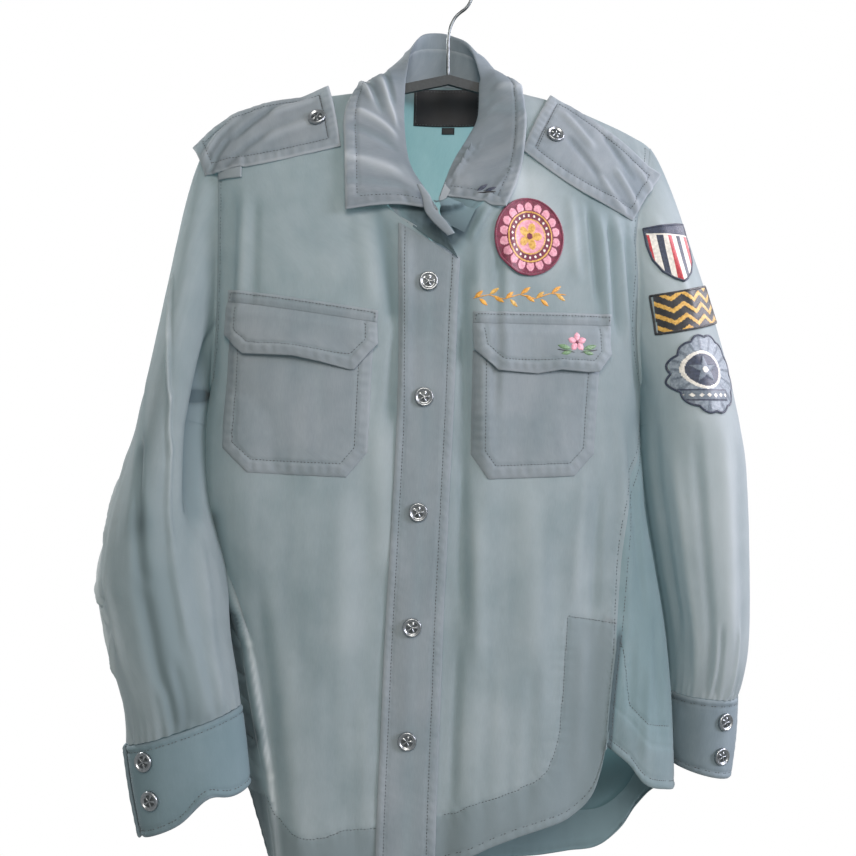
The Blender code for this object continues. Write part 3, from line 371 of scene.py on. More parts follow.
def crumple(u, v, seed, size=1.0):
    """Soft washed-cotton unevenness, longer along the hanging direction."""
    return size * (0.8 * noise(u / 34, v / 95, seed) + 0.35 * noise(u / 15, v / 40, seed + 1)
                   + 0.14 * noise(u / 7, v / 15, seed + 2))


def ripple(t, seed, wave=9.0):
    """Uneven pucker along a stitched edge."""
    t = np.asarray(t, float)
    swell = 0.62 + 0.38 * noise(t / 17, 4.6, seed)
    return (np.sin(2 * PI * t / wave + 2.2 * noise(t / 21, 0.3, seed)) * swell
            + 0.5 * noise(t / (0.55 * wave), 8.2, seed + 5))


def fold_height(a, down, girth):
    """Height of the large folds that the solids have too."""
    total = np.zeros(np.broadcast(a, down).shape)
    for a0, d0, a1, d1, width, height in FOLDS:
        s = (down - d0) / (d1 - d0)
        gap = (a - (a0 + (a1 - a0) * np.minimum(s, 1.15)) + girth / 2) % girth - girth / 2
        rise = np.sin(PI / 2 * np.clip(2.5 * s, 0, 1))
        total += np.where(s > 0, height * rise * np.exp(-(gap / width) ** 2), 0.0)
    return total


def body(a, down, lift=0.0, fine=True):
    """Points (n, 3) on the body at arcs from the placket and heights, moved out by lift."""
    a, down, lift = np.broadcast_arrays(np.asarray(a, float), np.asarray(down, float),
                                        np.asarray(lift, float))
    girth = girth_at(down)

    def flat(b):
        place = (b / girth) % 1.0 * SHARES
        x, y = look_up(SECT_X, down, place), look_up(SECT_Y, down, place)
        rise = np.clip(down - RIDGE_AT(x), 0, FALL_LENGTH) / FALL_LENGTH
        return x, y * np.sin(PI / 2 * rise) ** FALL_POWER

    x, y = flat(a)
    xa, ya = flat(a + 3)
    xb, yb = flat(a - 3)
    tx, ty = xa - xb, ya - yb
    size = np.hypot(tx, ty)
    size = np.where(size < 1e-9, 1.0, size)
    out = lift + fold_height(a, down, girth)
    if fine:
        # creases fade where the cloth turns to the other half
        ahead = np.clip(-y / 25, 0, 1)
        out = out + creases(x, down, FRONT_CREASES) * ahead
        out = out + creases(x, down, BACK_CREASES) * np.clip(y / 25, 0, 1)
    return np.stack([x + out * ty / size, y - out * tx / size, -down], -1)


def body_normal(a, down):
    p = body(a, down, fine=False)
    n = np.cross(body(a + 6, down, fine=False) - p, body(a, down + 6, fine=False) - p)
    size = np.linalg.norm(n, axis=-1, keepdims=True)
    return -n / np.where(size < 1e-9, 1.0, size)


def front(x, down, lift):
    """Points over the fronts at x and down, moved out along the surface."""
    a = arc_at(down, x, "F")
    n = body_normal(a, down)
    n = np.where(n[..., 1:2] > 0, -n, n)
    return body(a, down) + n * np.asarray(lift, float)[..., None]


# Edges of the cut pieces, as rows of (arc, down)
def arm_edge(side, half):
    rows = []
    for share in ARM_STEPS:
        down = TIP_DOWN + (UNDERARM_DOWN - TIP_DOWN) * share
        cx, wide = smooth(BODY, down, 1), smooth(BODY, down, 2)
        top = float(arc_at(down, cx + side * (wide - ARM_INSET), half))
        if down <= ARM_CURVE_DOWN:
            rows.append((top, down))
            continue
        s = (down - ARM_CURVE_DOWN) / (UNDERARM_DOWN - ARM_CURVE_DOWN)
        low = side_arc(down, side) - side * (SEAM_LEFT if side > 0 else SEAM_RIGHT)[0][1]
        if side < 0 and half == "B":
            low += girth_at(down)
        rows.append((top + (low - top) * (1 - math.sqrt(max(0.0, 1 - s * s))), down))
    return rows


def seam_edge(side):
    rows = []
    for i in range(1, SEAM_ROWS + 1):
        down = UNDERARM_DOWN + (PARTING_DOWN - UNDERARM_DOWN) * i / SEAM_ROWS
        shift = smooth(SEAM_LEFT if side > 0 else SEAM_RIGHT, down, 1)
        rows.append((float(side_arc(down, side)) - side * shift, down))
    return rows


def resample(points, shares):
    pts = np.array(points, float)
    run = np.concatenate([[0], np.cumsum(np.hypot(*np.diff(pts, axis=0).T))])
    at = run[-1] * np.array(shares)
    return list(zip(np.interp(at, run, pts[:, 0]), np.interp(at, run, pts[:, 1])))


def neck_edge(table, shares, half):
    return resample(on_arc(table, half), shares)


def shoulder_edge(neck_x, side, half):
    cx, wide = smooth(BODY, TIP_DOWN, 1), smooth(BODY, TIP_DOWN, 2)
    tip_x = cx + side * (wide - ARM_INSET)
    rows = []
    for i in range(1, SHOULDER_COLS + 1):
        x = neck_x + (tip_x - neck_x) * i / SHOULDER_COLS
        down = smooth(RIDGE, x, 1) if i < SHOULDER_COLS else TIP_DOWN
        rows.append((float(arc_at(down, x, half)), down))
    return rows


def coons(top, bottom, left, right):
    n, m = len(top), len(left)
    top, bottom, left, right = [np.array(e, float) for e in (top, bottom, left, right)]
    u = np.linspace(0, 1, n)[None, :, None]
    v = np.linspace(0, 1, m)[:, None, None]
    return ((1 - v) * top[None] + v * bottom[None] + (1 - u) * left[:, None] + u * right[:, None]
            - (1 - u) * (1 - v) * top[0] - u * (1 - v) * top[-1]
            - (1 - u) * v * bottom[0] - u * v * bottom[-1])


def spline_rows(grid, factors):
    """Smooth line through the rows of a grid, each step cut into its own count."""
    grid = np.asarray(grid, float)
    n = len(grid)
    out = []
    for k in range(n - 1):
        p0, p1, p2, p3 = grid[max(k - 1, 0)], grid[k], grid[k + 1], grid[min(k + 2, n - 1)]
        for s in np.arange(factors[k]) / factors[k]:
            out.append(0.5 * (2 * p1 + (p2 - p0) * s + (2 * p0 - 5 * p1 + 4 * p2 - p3) * s * s
                              + (3 * p1 - p0 - 3 * p2 + p3) * s ** 3))
    out.append(grid[-1])
    return np.array(out)


def refine(grid, cell, ring=False):
    """Finer grid through a coarse one, its cells near one size."""
    grid = np.asarray(grid, float)
    rows = [max(1, int(math.ceil(np.linalg.norm(grid[k + 1] - grid[k], axis=-1).max() / cell)))
            for k in range(len(grid) - 1)]
    grid = spline_rows(grid, rows)
    turned = np.swapaxes(grid, 0, 1)
    if ring:
        turned = np.concatenate([turned[-2:], turned, turned[:3]])
    cols = [max(1, int(math.ceil(np.linalg.norm(turned[k + 1] - turned[k], axis=-1).max() / cell)))
            for k in range(len(turned) - 1)]
    fine = spline_rows(turned, cols)
    if ring:
        fine = fine[sum(cols[:2]):sum(cols[:-2])]
    return np.swapaxes(fine, 0, 1)


# Grids of points, in millimetres: rows run down or out, columns run across
def normals(grid, ring=False, away=None, centre=None):
    """Unit normals of a grid, on the side of a direction or away from a point."""
    across = np.roll(grid, -1, 1) - np.roll(grid, 1, 1) if ring else np.gradient(grid, axis=1)
    n = np.cross(across, np.gradient(grid, axis=0))
    n /= np.maximum(np.linalg.norm(n, axis=-1, keepdims=True), 1e-9)
    side = (n * (grid - centre)).sum() if centre is not None else (n * np.array(away)).sum()
    return n if side > 0 else -n


def runs(grid):
    """Lengths from the left, right, top and bottom edges of a grid."""
    over = np.linalg.norm(np.diff(grid, axis=1), axis=-1)
    down = np.linalg.norm(np.diff(grid, axis=0), axis=-1)
    left = np.concatenate([np.zeros((len(grid), 1)), np.cumsum(over, 1)], 1)
    top = np.concatenate([np.zeros((1, grid.shape[1])), np.cumsum(down, 0)], 0)
    return left, left[:, -1:] - left, top, top[-1:] - top


def quad_field(grid, sides):
    """Gap to the nearest of the named edges, and the length run along it."""
    left, right, top, bottom = runs(grid)
    gap, run = np.full(left.shape, 1e3), np.zeros(left.shape)
    for side, field, along in (("L", left, top), ("R", right, top + 300), ("T", top, left + 600),
                               ("B", bottom, left + 900)):
        if side in sides:
            nearer = field < gap
            gap, run = np.where(nearer, field, gap), np.where(nearer, along, run)
    return gap, run


def line_field(u, v, line, closed=False):
    """Gap to a flat line, and the length run along it, for points u, v."""
    pts = np.array(list(line) + ([line[0]] if closed else []), float)
    gap, run, done = np.full(np.shape(u), 1e3), np.zeros(np.shape(u)), 0.0
    for (x0, y0), (x1, y1) in zip(pts[:-1], pts[1:]):
        size = math.hypot(x1 - x0, y1 - y0)
        s = np.clip(((u - x0) * (x1 - x0) + (v - y0) * (y1 - y0)) / size ** 2, 0, 1)
        d = np.hypot(u - x0 - s * (x1 - x0), v - y0 - s * (y1 - y0))
        nearer = d < gap
        gap, run = np.where(nearer, d, gap), np.where(nearer, done + s * size, run)
        done += size
    return gap, run


def sewn_edge(gap, run, seed, inset=TOPSTITCH, pucker=0.34):
    """Relief of a topstitched edge: furrow at the thread, puckers out to the fold."""
    furrow = -0.7 * np.exp(-((gap - inset) / 1.5) ** 2)
    between = np.clip(gap / (0.35 * inset), 0, 1) * np.clip((inset - gap) / (0.3 * inset), 0, 1)
    beyond = 0.55 * np.exp(-np.abs(gap - inset) / 6.0) * (gap > inset)
    return (furrow + pucker * ripple(run, seed) * (between + beyond) + 0.3 * between
            - 0.75 * np.exp(-(gap / 0.9) ** 2))


def sewn_line(gap, run, seed, depth=0.6, pucker=0.3):
    """Relief of a line of stitches in the middle of the cloth."""
    return -depth * np.exp(-(gap / 1.5) ** 2) + pucker * ripple(run, seed) * np.exp(-gap / 7.0)


def rimmed(grid, n, rings, sides="LRTB"):
    """Carry a grid round its edges by rings of (outwards, under) steps."""
    k = len(rings)
    rows = np.arange(-k if "T" in sides else 0, len(grid) + (k if "B" in sides else 0))
    cols = np.arange(-k if "L" in sides else 0, grid.shape[1] + (k if "R" in sides else 0))
    r, c = np.clip(rows, 0, len(grid) - 1), np.clip(cols, 0, grid.shape[1] - 1)
    sr, sc = np.sign(rows - r)[:, None], np.sign(cols - c)[None]
    depth = np.maximum(np.abs(rows - r)[:, None], np.abs(cols - c)[None])
    steps = np.array([(0.0, 0.0)] + list(rings))[depth]
    cell_r = max(0.3, float(np.median(np.linalg.norm(np.diff(grid[:9], axis=0), axis=-1))))
    cell_c = max(0.3, float(np.median(np.linalg.norm(np.diff(grid[:, :9], axis=1), axis=-1))))
    back = np.where(steps[..., 0] < -1.5, -steps[..., 0], 0.0)
    base_r = np.clip(r[:, None] - sr * np.rint(back / cell_r).astype(int), 0, len(grid) - 1)
    base_c = np.clip(c[None] - sc * np.rint(back / cell_c).astype(int), 0, grid.shape[1] - 1)
    inwards = 5
    far_r = np.clip(base_r - sr * inwards, 0, len(grid) - 1)
    far_c = np.clip(base_c - sc * inwards, 0, grid.shape[1] - 1)
    away = grid[base_r, base_c] - grid[far_r, far_c]
    away -= n[base_r, base_c] * (away * n[base_r, base_c]).sum(-1, keepdims=True)
    size = np.linalg.norm(away, axis=-1, keepdims=True)
    away = away / np.where(size < 1e-9, 1.0, size)
    outwards = np.where(steps[..., :1] < -1.5, 0.0, steps[..., :1])
    return grid[base_r, base_c] + away * outwards - n[base_r, base_c] * steps[..., 1:]


def carried(field, rings, sides="LRTB"):
    """A grid's field carried round the same edges as its rim."""
    k = len(rings)
    return np.pad(field, [(k * ("T" in sides), k * ("B" in sides)), (k * ("L" in sides), k * ("R" in sides))],
                  mode="edge")


FOLDED_EDGE = [(0.45, 0.35), (0.6, 0.9), (0.35, 1.5), (-0.3, 1.8), (-1.8, 1.9)]
TURNED_HEM = [(0.4, 0.3), (0.4, 0.9), (-0.2, 1.4), (-3.0, 1.5), (-6.5, 1.5), (-10.5, 1.5)]


def at(grid, row, col):
    """Bilinear points of a grid at fractional rows and columns."""
    row, col = np.broadcast_arrays(np.asarray(row, float), np.asarray(col, float))
    i = np.clip(row.astype(int), 0, len(grid) - 2)
    j = np.clip(col.astype(int), 0, grid.shape[1] - 2)
    u, v = (row - i)[..., None], (col - j)[..., None]
    return ((grid[i, j] * (1 - v) + grid[i, j + 1] * v) * (1 - u)
            + (grid[i + 1, j] * (1 - v) + grid[i + 1, j + 1] * v) * u)


def inset_path(grid, sides, inset):
    """Path inside a grid beside the named edges, in their order."""
    left, right, top, bottom = runs(grid)
    rows, cols = len(grid), grid.shape[1]
    r0 = np.interp(inset, top[:, cols // 2], np.arange(rows)) if "T" in sides else 0.0
    r1 = np.interp(-inset, -bottom[:, cols // 2], np.arange(rows)) if "B" in sides else rows - 1.0
    c0 = np.interp(inset, left[rows // 2], np.arange(cols)) if "L" in sides else 0.0
    c1 = np.interp(-inset, -right[rows // 2], np.arange(cols)) if "R" in sides else cols - 1.0
    path = []
    for side in sides:
        at_edge = inset if side in "LT" else -inset
        if side in "LR":
            rr = np.arange(math.ceil(r0), math.floor(r1) + 1)
            field = left if side == "L" else -right
            cc = np.array([np.interp(at_edge, field[r], np.arange(cols)) for r in rr])
            part = at(grid, rr, cc)
            part = part if side == "R" or sides.startswith("L") and sides != "LBRT" else part[::-1]
        else:
            cc = np.arange(math.ceil(c0), math.floor(c1) + 1)
            field = top if side == "T" else -bottom
            rr = np.array([np.interp(at_edge, field[:, c], np.arange(rows)) for c in cc])
            part = at(grid, rr, cc)
        if path and np.linalg.norm(path[-1][-1] - part[0]) > np.linalg.norm(path[-1][-1] - part[-1]):
            part = part[::-1]
        path.append(part)
    return np.concatenate(path)


def inset_outline(outline, inset, skip=()):
    """Corners of an outline moved inwards; edges named in skip stay where they are."""
    pts = np.array(outline, float)
    count = len(pts)
    after = np.roll(pts, -1, 0)
    area = (pts[:, 0] * after[:, 1] - after[:, 0] * pts[:, 1]).sum()
    lines = []
    for k in range(count):
        p, q = pts[k], pts[(k + 1) % count]
        d = (q - p) / np.linalg.norm(q - p)
        n = np.array([-d[1], d[0]]) * (1 if area > 0 else -1)
        lines.append((p + n * (0.0 if k in skip else inset), d))
    out = []
    for k in range(count):
        (p, d), (q, e) = lines[k - 1], lines[k]
        t = ((q[0] - p[0]) * e[1] - (q[1] - p[1]) * e[0]) / (d[0] * e[1] - d[1] * e[0])
        out.append(tuple(p + d * t))
    return out


def lengths(pts):
    """Length run along a line of points, at each of them."""
    return np.concatenate([[0], np.cumsum(np.linalg.norm(np.diff(pts, axis=0), axis=1))])


def blurred(field, own=2):
    """Each value of a field evened out with its four neighbours."""
    near = np.pad(field, 1, mode="edge")
    return (near[:-2, 1:-1] + near[2:, 1:-1] + near[1:-1, :-2] + near[1:-1, 2:] + own * field) / (4 + own)


def densify(points, step, closed=False):
    pts = np.array(list(points) + ([points[0]] if closed else []), float)
    run = lengths(pts)
    at_run = np.linspace(0, run[-1], max(2, int(round(run[-1] / step)) + 1))
    return np.stack([np.interp(at_run, run, pts[:, c]) for c in range(pts.shape[1])], -1)


# Meshes
def grid_faces(rows, cols, ring=False):
    i = np.arange(rows - 1)[:, None] * cols
    k = np.arange(cols if ring else cols - 1)[None]
    a, b = i + k, i + (k + 1) % cols
    return np.stack([a, a + cols, b + cols, b], -1).reshape(-1, 4)


def new_piece(name, verts, faces, mats, uv=None, tone=None, face_mats=None):
    """A mesh piece from millimetre points, with cloth coordinates and a tone of wear and painted light."""
    mesh = bpy.data.meshes.new(name)
    mesh.from_pydata((np.asarray(verts) * MM).tolist(), [],
                     faces if isinstance(faces, list) else np.asarray(faces).tolist())
    for mat in mats:
        mesh.materials.append(mat)
    mesh.polygons.foreach_set("use_smooth", [True] * len(mesh.polygons))
    if face_mats is not None:
        mesh.polygons.foreach_set("material_index", np.asarray(face_mats, dtype=np.int32).tolist())
    if uv is not None:
        layer = mesh.uv_layers.new(name="cloth")
        loops = np.zeros(len(mesh.loops), dtype=np.int32)
        mesh.loops.foreach_get("vertex_index", loops)
        layer.data.foreach_set("uv", (np.asarray(uv)[loops] * MM).ravel().tolist())
    if tone is not None:
        field = mesh.attributes.new("wear_and_painted_light", "FLOAT", "POINT")
        field.data.foreach_set("value", np.asarray(tone, float).ravel().tolist())
    mesh.update()
    obj = bpy.data.objects.new(name, mesh)
    bpy.context.scene.collection.objects.link(obj)
    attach(obj, "root")
    return obj


def tree_of(*grids, ring=()):
    """Search tree over some grids, in millimetres; ring tells which of them close on themselves."""
    verts, faces, base = [], [], 0
    for k, grid in enumerate(grids):
        verts.append(grid.reshape(-1, 3))
        faces.append(grid_faces(len(grid), grid.shape[1], k in ring) + base)
        base += grid.shape[0] * grid.shape[1]
    return BVHTree.FromPolygons(np.concatenate(verts).tolist(), np.concatenate(faces).tolist())


def settled(grid, tree, need, away, reach=14.0, rounds=3, keep=None):
    """Move a laid grid out until it clears the cloth under it, evenly."""
    grid, away_v = grid.copy(), Vector(away)
    away = np.array(away, float)
    for _ in range(rounds):
        push = np.zeros(grid.shape[:2])
        for j in range(grid.shape[0]):
            for i in range(grid.shape[1]):
                p = Vector(grid[j, i])
                near, normal, _, dist = tree.find_nearest(p)
                if normal.dot(away_v) < 0:
                    normal = -normal
                inside = (p - near).dot(normal) < -0.01
                if inside and dist > reach:
                    continue
                lack = need + dist if inside else need - dist
                push[j, i] = max(0.0, lack / max(0.35, normal.dot(away_v)))
        if keep is not None:
            push = push * keep
        if push.max() < 0.05:
            break
        for _ in range(5):
            push = np.maximum(push, blurred(push))
        grid += away * push[..., None]
    return grid


SEWN = {}
STITCH_PITCH, STITCH_LENGTH, STITCH_HALF_WIDTH = 3.0, 2.5, 0.4


def sew(host, points, tree, away, closed=False):
    """A run of stitches laid on a surface along a line of points."""
    line = densify(points, 1.0, closed)
    run = lengths(line)
    away = Vector(away)
    for k in range(int(run[-1] / STITCH_PITCH)):
        ends = []
        start = k * STITCH_PITCH + 0.4
        for s in (start, start + STITCH_LENGTH / 2, start + STITCH_LENGTH):
            p = Vector([np.interp(s, run, line[:, c]) for c in range(3)])
            near, normal, _, dist = tree.find_nearest(p)
            if near is None or dist > 8:
                break
            ends.append((near, -normal if normal.dot(away) < 0 else normal))
        if len(ends) < 3:
            continue
        (a, na), (m, nm), (b, nb) = ends
        along = b - a
        if along.length < 0.5:
            continue
        side = along.normalized().cross(nm) * STITCH_HALF_WIDTH
        SEWN.setdefault(host, []).append([a + na * 0.02, m + side + nm * 0.1, m + nm * 0.42,
                                          m - side + nm * 0.1, m - nm * 0.1, b + nb * 0.02])


def sew_parts(host, path, tree, count, away):
    """Stitches along a path that turns, cut into parts that are each laid from their own side."""
    for part in np.array_split(path, count):
        if len(part) > 3:
            sew(host, part, tree, away(part[len(part) // 2]))


STITCH_FACES = np.array([(0, 1, 2), (0, 2, 3), (0, 3, 4), (0, 4, 1), (5, 2, 1), (5, 3, 2), (5, 4, 3),
                         (5, 1, 4)])


# Materials
def linear(hex_colour):
    """sRGB hex to the linear colour that shaders take."""
    values = [int(hex_colour[k:k + 2], 16) / 255 for k in (1, 3, 5)]
    return tuple(v / 12.92 if v <= 0.04045 else ((v + 0.055) / 1.055) ** 2.4 for v in values) + (1.0,)


NOISE, WAVE, RAMP, MATH, BUMP, MIX = ("ShaderNodeTexNoise", "ShaderNodeTexWave", "ShaderNodeValToRGB",
                                      "ShaderNodeMath", "ShaderNodeBump", "ShaderNodeMix")
# A wave texture of scale 1 repeats after this length
WAVE_PERIOD = 0.314
THREAD_MM = 0.8


def node(mat, kind, inputs=None, stops=(), **settings):
    """Add a node, or take a made one, with its settings, colour stops, and inputs linked or set."""
    made = kind if isinstance(kind, bpy.types.Node) else mat.node_tree.nodes.new(kind)
    for key, value in settings.items():
        setattr(made, key, value)
    for key, value in (inputs or {}).items():
        if isinstance(value, bpy.types.NodeSocket):
            mat.node_tree.links.new(value, made.inputs[key])
        else:
            made.inputs[key].default_value = value
    for k, (place, colour) in enumerate(stops):
        stop = made.color_ramp.elements[k]
        stop.position, stop.color = place, linear(colour)
    return made


def start_material(name):
    mat = bpy.data.materials.new(name)
    mat.use_nodes = True
    shader = mat.node_tree.nodes["Principled BSDF"]
    return mat, shader, node(mat, "ShaderNodeTexCoord").outputs


def cloth_material(name, dark, base, pale, aqua, through, share):
    """Washed woven cotton: soft patchy colour, a fine weave in relief, and a tone painted on it: pale for
    wear and painted highlight, aqua for a painted glow in hollows, dark for painted shade.
    """
    mat, shader, place = start_material(name)
    # wash patches about 40 mm wide, and faint slubs drawn out along the warp
    patch = node(mat, NOISE, {"Vector": place["Object"], "Scale": 22.0, "Detail": 3.0, "Roughness": 0.55})
    drawn = node(mat, "ShaderNodeMapping", {"Vector": place["UV"], "Scale": (1.0, 0.1, 1.0)}).outputs[0]
    slub = node(mat, NOISE, {"Vector": drawn, "Scale": 1300.0, "Detail": 1.0})
    streak = node(mat, NOISE, {"Vector": drawn, "Scale": 90.0, "Detail": 2.0})
    colour = node(mat, RAMP, {0: patch.outputs["Fac"]}, [(0.3, dark), (0.66, base)]).outputs[0]
    for amount, shade, stops in ((0.3, slub, [(0.35, "#dfe1e1"), (0.65, "#ffffff")]),
                                 (0.35, streak, [(0.3, "#dcdfe4"), (0.7, "#ffffff")])):
        tint = node(mat, RAMP, {0: shade.outputs["Fac"]}, stops)
        colour = node(mat, MIX, {0: amount, 6: colour, 7: tint.outputs[0]}, data_type="RGBA",
                      blend_type="MULTIPLY").outputs[2]
    # the tone attribute carries wear and painted light: pale for wear and painted highlight, aqua for a
    # painted glow of light through the cloth
    wear_and_painted_light = node(mat, "ShaderNodeAttribute", attribute_name="wear_and_painted_light").outputs["Fac"]
    for stops, tone in (([(0.5, "#000000"), (1.0, "#ffffff")], pale),
                        ([(0.0, "#ffffff"), (0.5, "#000000")], aqua)):
        amount = node(mat, RAMP, {0: wear_and_painted_light}, stops).outputs[0]
        colour = node(mat, MIX, {0: amount, 6: colour, 7: linear(tone)}, data_type="RGBA").outputs[2]
    # painted shade: where the tone runs below plain the colour goes dark and less light comes through;
    # it shows only on the side of the cloth that opens to the front, so the outside of the back stays plain
    painted_shade = node(mat, MATH, {0: wear_and_painted_light, 1: -0.8, 2: 0.4}, operation="MULTIPLY_ADD", use_clamp=True)
    surface = node(mat, "ShaderNodeNewGeometry").outputs["True Normal"]
    split = node(mat, "ShaderNodeSeparateXYZ", {0: surface})
    toward = node(mat, MATH, {0: split.outputs["Y"], 1: -3.0, 2: 1.2}, operation="MULTIPLY_ADD",
                  use_clamp=True)
    painted_shade = node(mat, MATH, {0: painted_shade.outputs[0], 1: toward.outputs[0]}, operation="MULTIPLY").outputs[0]
    colour = node(mat, MIX, {0: painted_shade, 6: colour, 7: linear("#4d5c61")}, data_type="RGBA").outputs[2]
    thin = node(mat, MATH, {0: painted_shade, 1: -share, 2: share}, operation="MULTIPLY_ADD").outputs[0]
    # plain weave: two sets of threads crossing
    warp, weft = [node(mat, WAVE, {"Vector": place["UV"], "Scale": WAVE_PERIOD / (THREAD_MM * MM),
                                   "Distortion": 0.5}, bands_direction=way).outputs["Fac"] for way in "XY"]
    weave = node(mat, MATH, {0: warp, 1: weft}, operation="MULTIPLY").outputs[0]
    rumple = node(mat, NOISE, {"Vector": place["Object"], "Scale": 95.0, "Detail": 3.0, "Roughness": 0.5})
    soft = node(mat, BUMP, {"Strength": 0.22, "Distance": 0.001, "Height": rumple.outputs["Fac"]})
    relief = node(mat, BUMP, {"Strength": 0.22, "Distance": 0.0003, "Height": weave,
                              "Normal": soft.outputs[0]}).outputs[0]
    node(mat, shader, {"Base Color": colour, "Normal": relief, "Roughness": 0.88, "Specular IOR Level": 0.25,
                       "Sheen Weight": 0.1, "Sheen Roughness": 0.4})
    glow = node(mat, "ShaderNodeBsdfTranslucent", {"Color": linear(through), "Normal": relief})
    both = node(mat, "ShaderNodeMixShader", {0: thin, 1: shader.outputs[0], 2: glow.outputs[0]})
    node(mat, mat.node_tree.nodes["Material Output"], {"Surface": both.outputs[0]})
    return mat


# Garment-washed cotton, one layer: matt, blue-grey, light glows through it as pale aqua
WASHED_COTTON = cloth_material("washed_cotton", "#959fa2", "#a6aeb1",
                               "#d2d7d8", "#8e9ca0", "#b0c9cc", 0.34)
# The same cotton sewn double, a copy painted darker for shade: less light comes through, so it reads greyer
DOUBLED_COTTON = cloth_material("washed_cotton_doubled", "#879297", "#979fa4",
                                "#c6ccd0", "#839da1", "#a4bec2", 0.22)
# Collar and shoulder straps, doubled and stiffened: a copy painted darkest for shade, with a painted
# highlight on crinkles
COLLAR_COTTON = cloth_material("washed_cotton_collar", "#78838a", "#878f95",
                               "#d4dade", "#7c9399", "#a4bcc2", 0.2)
# The back's layer, seen from inside at the neck and vent: deeper aqua against the light
BACK_COTTON = cloth_material("washed_cotton_back", "#87999c", "#99a8ab",
                             "#ccd3d4", "#83999d", "#7fb0b5", 0.36)
# Cuffs of the same cotton with stiffening: a copy painted darker for shade, and flatter
CUFF_COTTON = cloth_material("washed_cotton_cuff", "#717f86", "#818e95",
                             "#b0babe", "#6f8d93", "#98b8be", 0.16)


def thread_material(name, dark, light, rough=0.6, sheen=0.2, pitch_mm=0.8):
    """Twisted thread: a fine slanting twist in relief and slight shade changes."""
    mat, shader, place = start_material(name)
    shade = node(mat, NOISE, {"Vector": place["Object"], "Scale": 420.0, "Detail": 2.0})
    colour = node(mat, RAMP, {0: shade.outputs["Fac"]}, [(0.35, dark), (0.65, light)])
    twist = node(mat, WAVE, {"Vector": place["Object"], "Scale": WAVE_PERIOD / (pitch_mm * MM),
                             "Distortion": 1.5}, bands_direction="DIAGONAL")
    relief = node(mat, BUMP, {"Strength": 0.5, "Distance": 0.0003, "Height": twist.outputs["Fac"]})
    node(mat, shader, {"Base Color": colour.outputs[0], "Normal": relief.outputs[0], "Roughness": rough,
                       "Sheen Weight": sheen})
    return mat


def hard_material(name, dark, light, scale, detail, rough, metallic=0.0, relief=0.0):
    """Metal or paint: slight shade changes, and where it has relief the same unevenness in it."""
    mat, shader, place = start_material(name)
    shade = node(mat, NOISE, {"Vector": place["Object"], "Scale": scale, "Detail": detail}).outputs["Fac"]
    colour = node(mat, RAMP, {0: shade}, [(0.3, dark), (0.7, light)])
    node(mat, shader, {"Base Color": colour.outputs[0], "Metallic": metallic, "Roughness": rough})
    if relief:
        bump = node(mat, BUMP, {"Strength": relief, "Distance": 0.0002, "Height": shade})
        node(mat, shader, {"Normal": bump.outputs[0]})
    return mat


# Cotton sewing thread, aged to a dull brown grey against the cloth
SEWING_THREAD = thread_material("cotton_thread", "#363d40", "#4b5255", 0.8)


def tone_of(*fields):
    """Tone of the cloth from fields, wear and painted light together: 0.5 plain, 1 faded or painted
    highlight, 0 painted aqua glow, -1 painted shade.
    """
    total = np.full(fields[0].shape, 0.5)
    for field in fields:
        total = total + field
    return np.clip(total, -1, 1)


def shadows(u, v, table):
    """Painted shade and highlight along lines: start u, v, end u, v, half width, amount."""
    total = np.zeros(np.broadcast(u, v).shape)
    for u0, v0, u1, v1, width, amount in table:
        du, dv = u1 - u0, v1 - v0
        s = np.clip(((u - u0) * du + (v - v0) * dv) / (du * du + dv * dv), 0, 1)
        total += amount * np.exp(-((u - u0 - s * du) ** 2 + (v - v0 - s * dv) ** 2) / width ** 2)
    return total


def grid_uv(grid):
    left, _, top, _ = runs(grid)
    return np.stack([left, top], -1).reshape(-1, 2)


def lay(name, grid, mat, ring=False, tone=None, extra=()):
    """One cloth piece from its grid, with any extra strips that belong to it."""
    verts, faces, uv = [grid.reshape(-1, 3)], [grid_faces(len(grid), grid.shape[1], ring)], [grid_uv(grid)]
    tones, base = [np.full(grid.shape[:2], 0.5).ravel() if tone is None else tone.ravel()], grid[..., 0].size
    for strip, strip_tone in extra:
        verts.append(strip.reshape(-1, 3))
        faces.append(grid_faces(len(strip), strip.shape[1]) + base)
        uv.append(grid_uv(strip))
        tones.append(strip_tone.ravel())
        base += strip[..., 0].size
    return new_piece(name, np.concatenate(verts), np.concatenate(faces), [mat], np.concatenate(uv),
                     np.concatenate(tones))


def lay_rimmed(name, grid, n, mat, tone, rings=FOLDED_EDGE, sides="LRTB"):
    """One cloth piece with its edges turned round by rings, and its tone of wear and painted light with them.
    """
    tone = np.clip(carried(tone, rings, sides), 0, 1)
    lay(name + "_cloth", rimmed(grid, n, rings, sides), mat, tone=tone)


# The camera's frame, used to set small work by where it is seen
forward = Vector((-math.sin(VIEW_TURN), math.cos(VIEW_TURN), 0.0))
sideways = Vector((math.cos(VIEW_TURN), math.sin(VIEW_TURN), 0.0))
camera_place = -forward * VIEW_BACK + Vector((0, 0, -VIEW_DOWN)) - sideways * VIEW_LEFT

# Body panels
arm = {(s, h): arm_edge(s, h) for s in (1, -1) for h in "FB"}
seam = {s: seam_edge(s) for s in (1, -1)}


def front_cut(side):
    neck = NECK_LEFT if side > 0 else NECK_RIGHT
    hem = HEM_LEFT if side > 0 else HEM_RIGHT
    edge = arm[(side, "F")] + seam[side]
    neck_line = neck_edge(neck, NECK_STEPS, "F")
    top = neck_line[-1:] + shoulder_edge(neck[-1][0], side, "F")[:-1] + [edge[0]]
    foot = resample([edge[-1]] + on_arc(hem), np.linspace(0, 1, len(top)))[::-1]
    low = neck_line[0]
    rows = len(edge) - 1 - NECK_ROWS
    centre = neck_line[::-1] + [(low[0] + (foot[0][0] - low[0]) * j / rows,
                                 low[1] + (foot[0][1] - low[1]) * j / rows) for j in range(1, rows + 1)]
    return coons(top, foot, centre, edge)


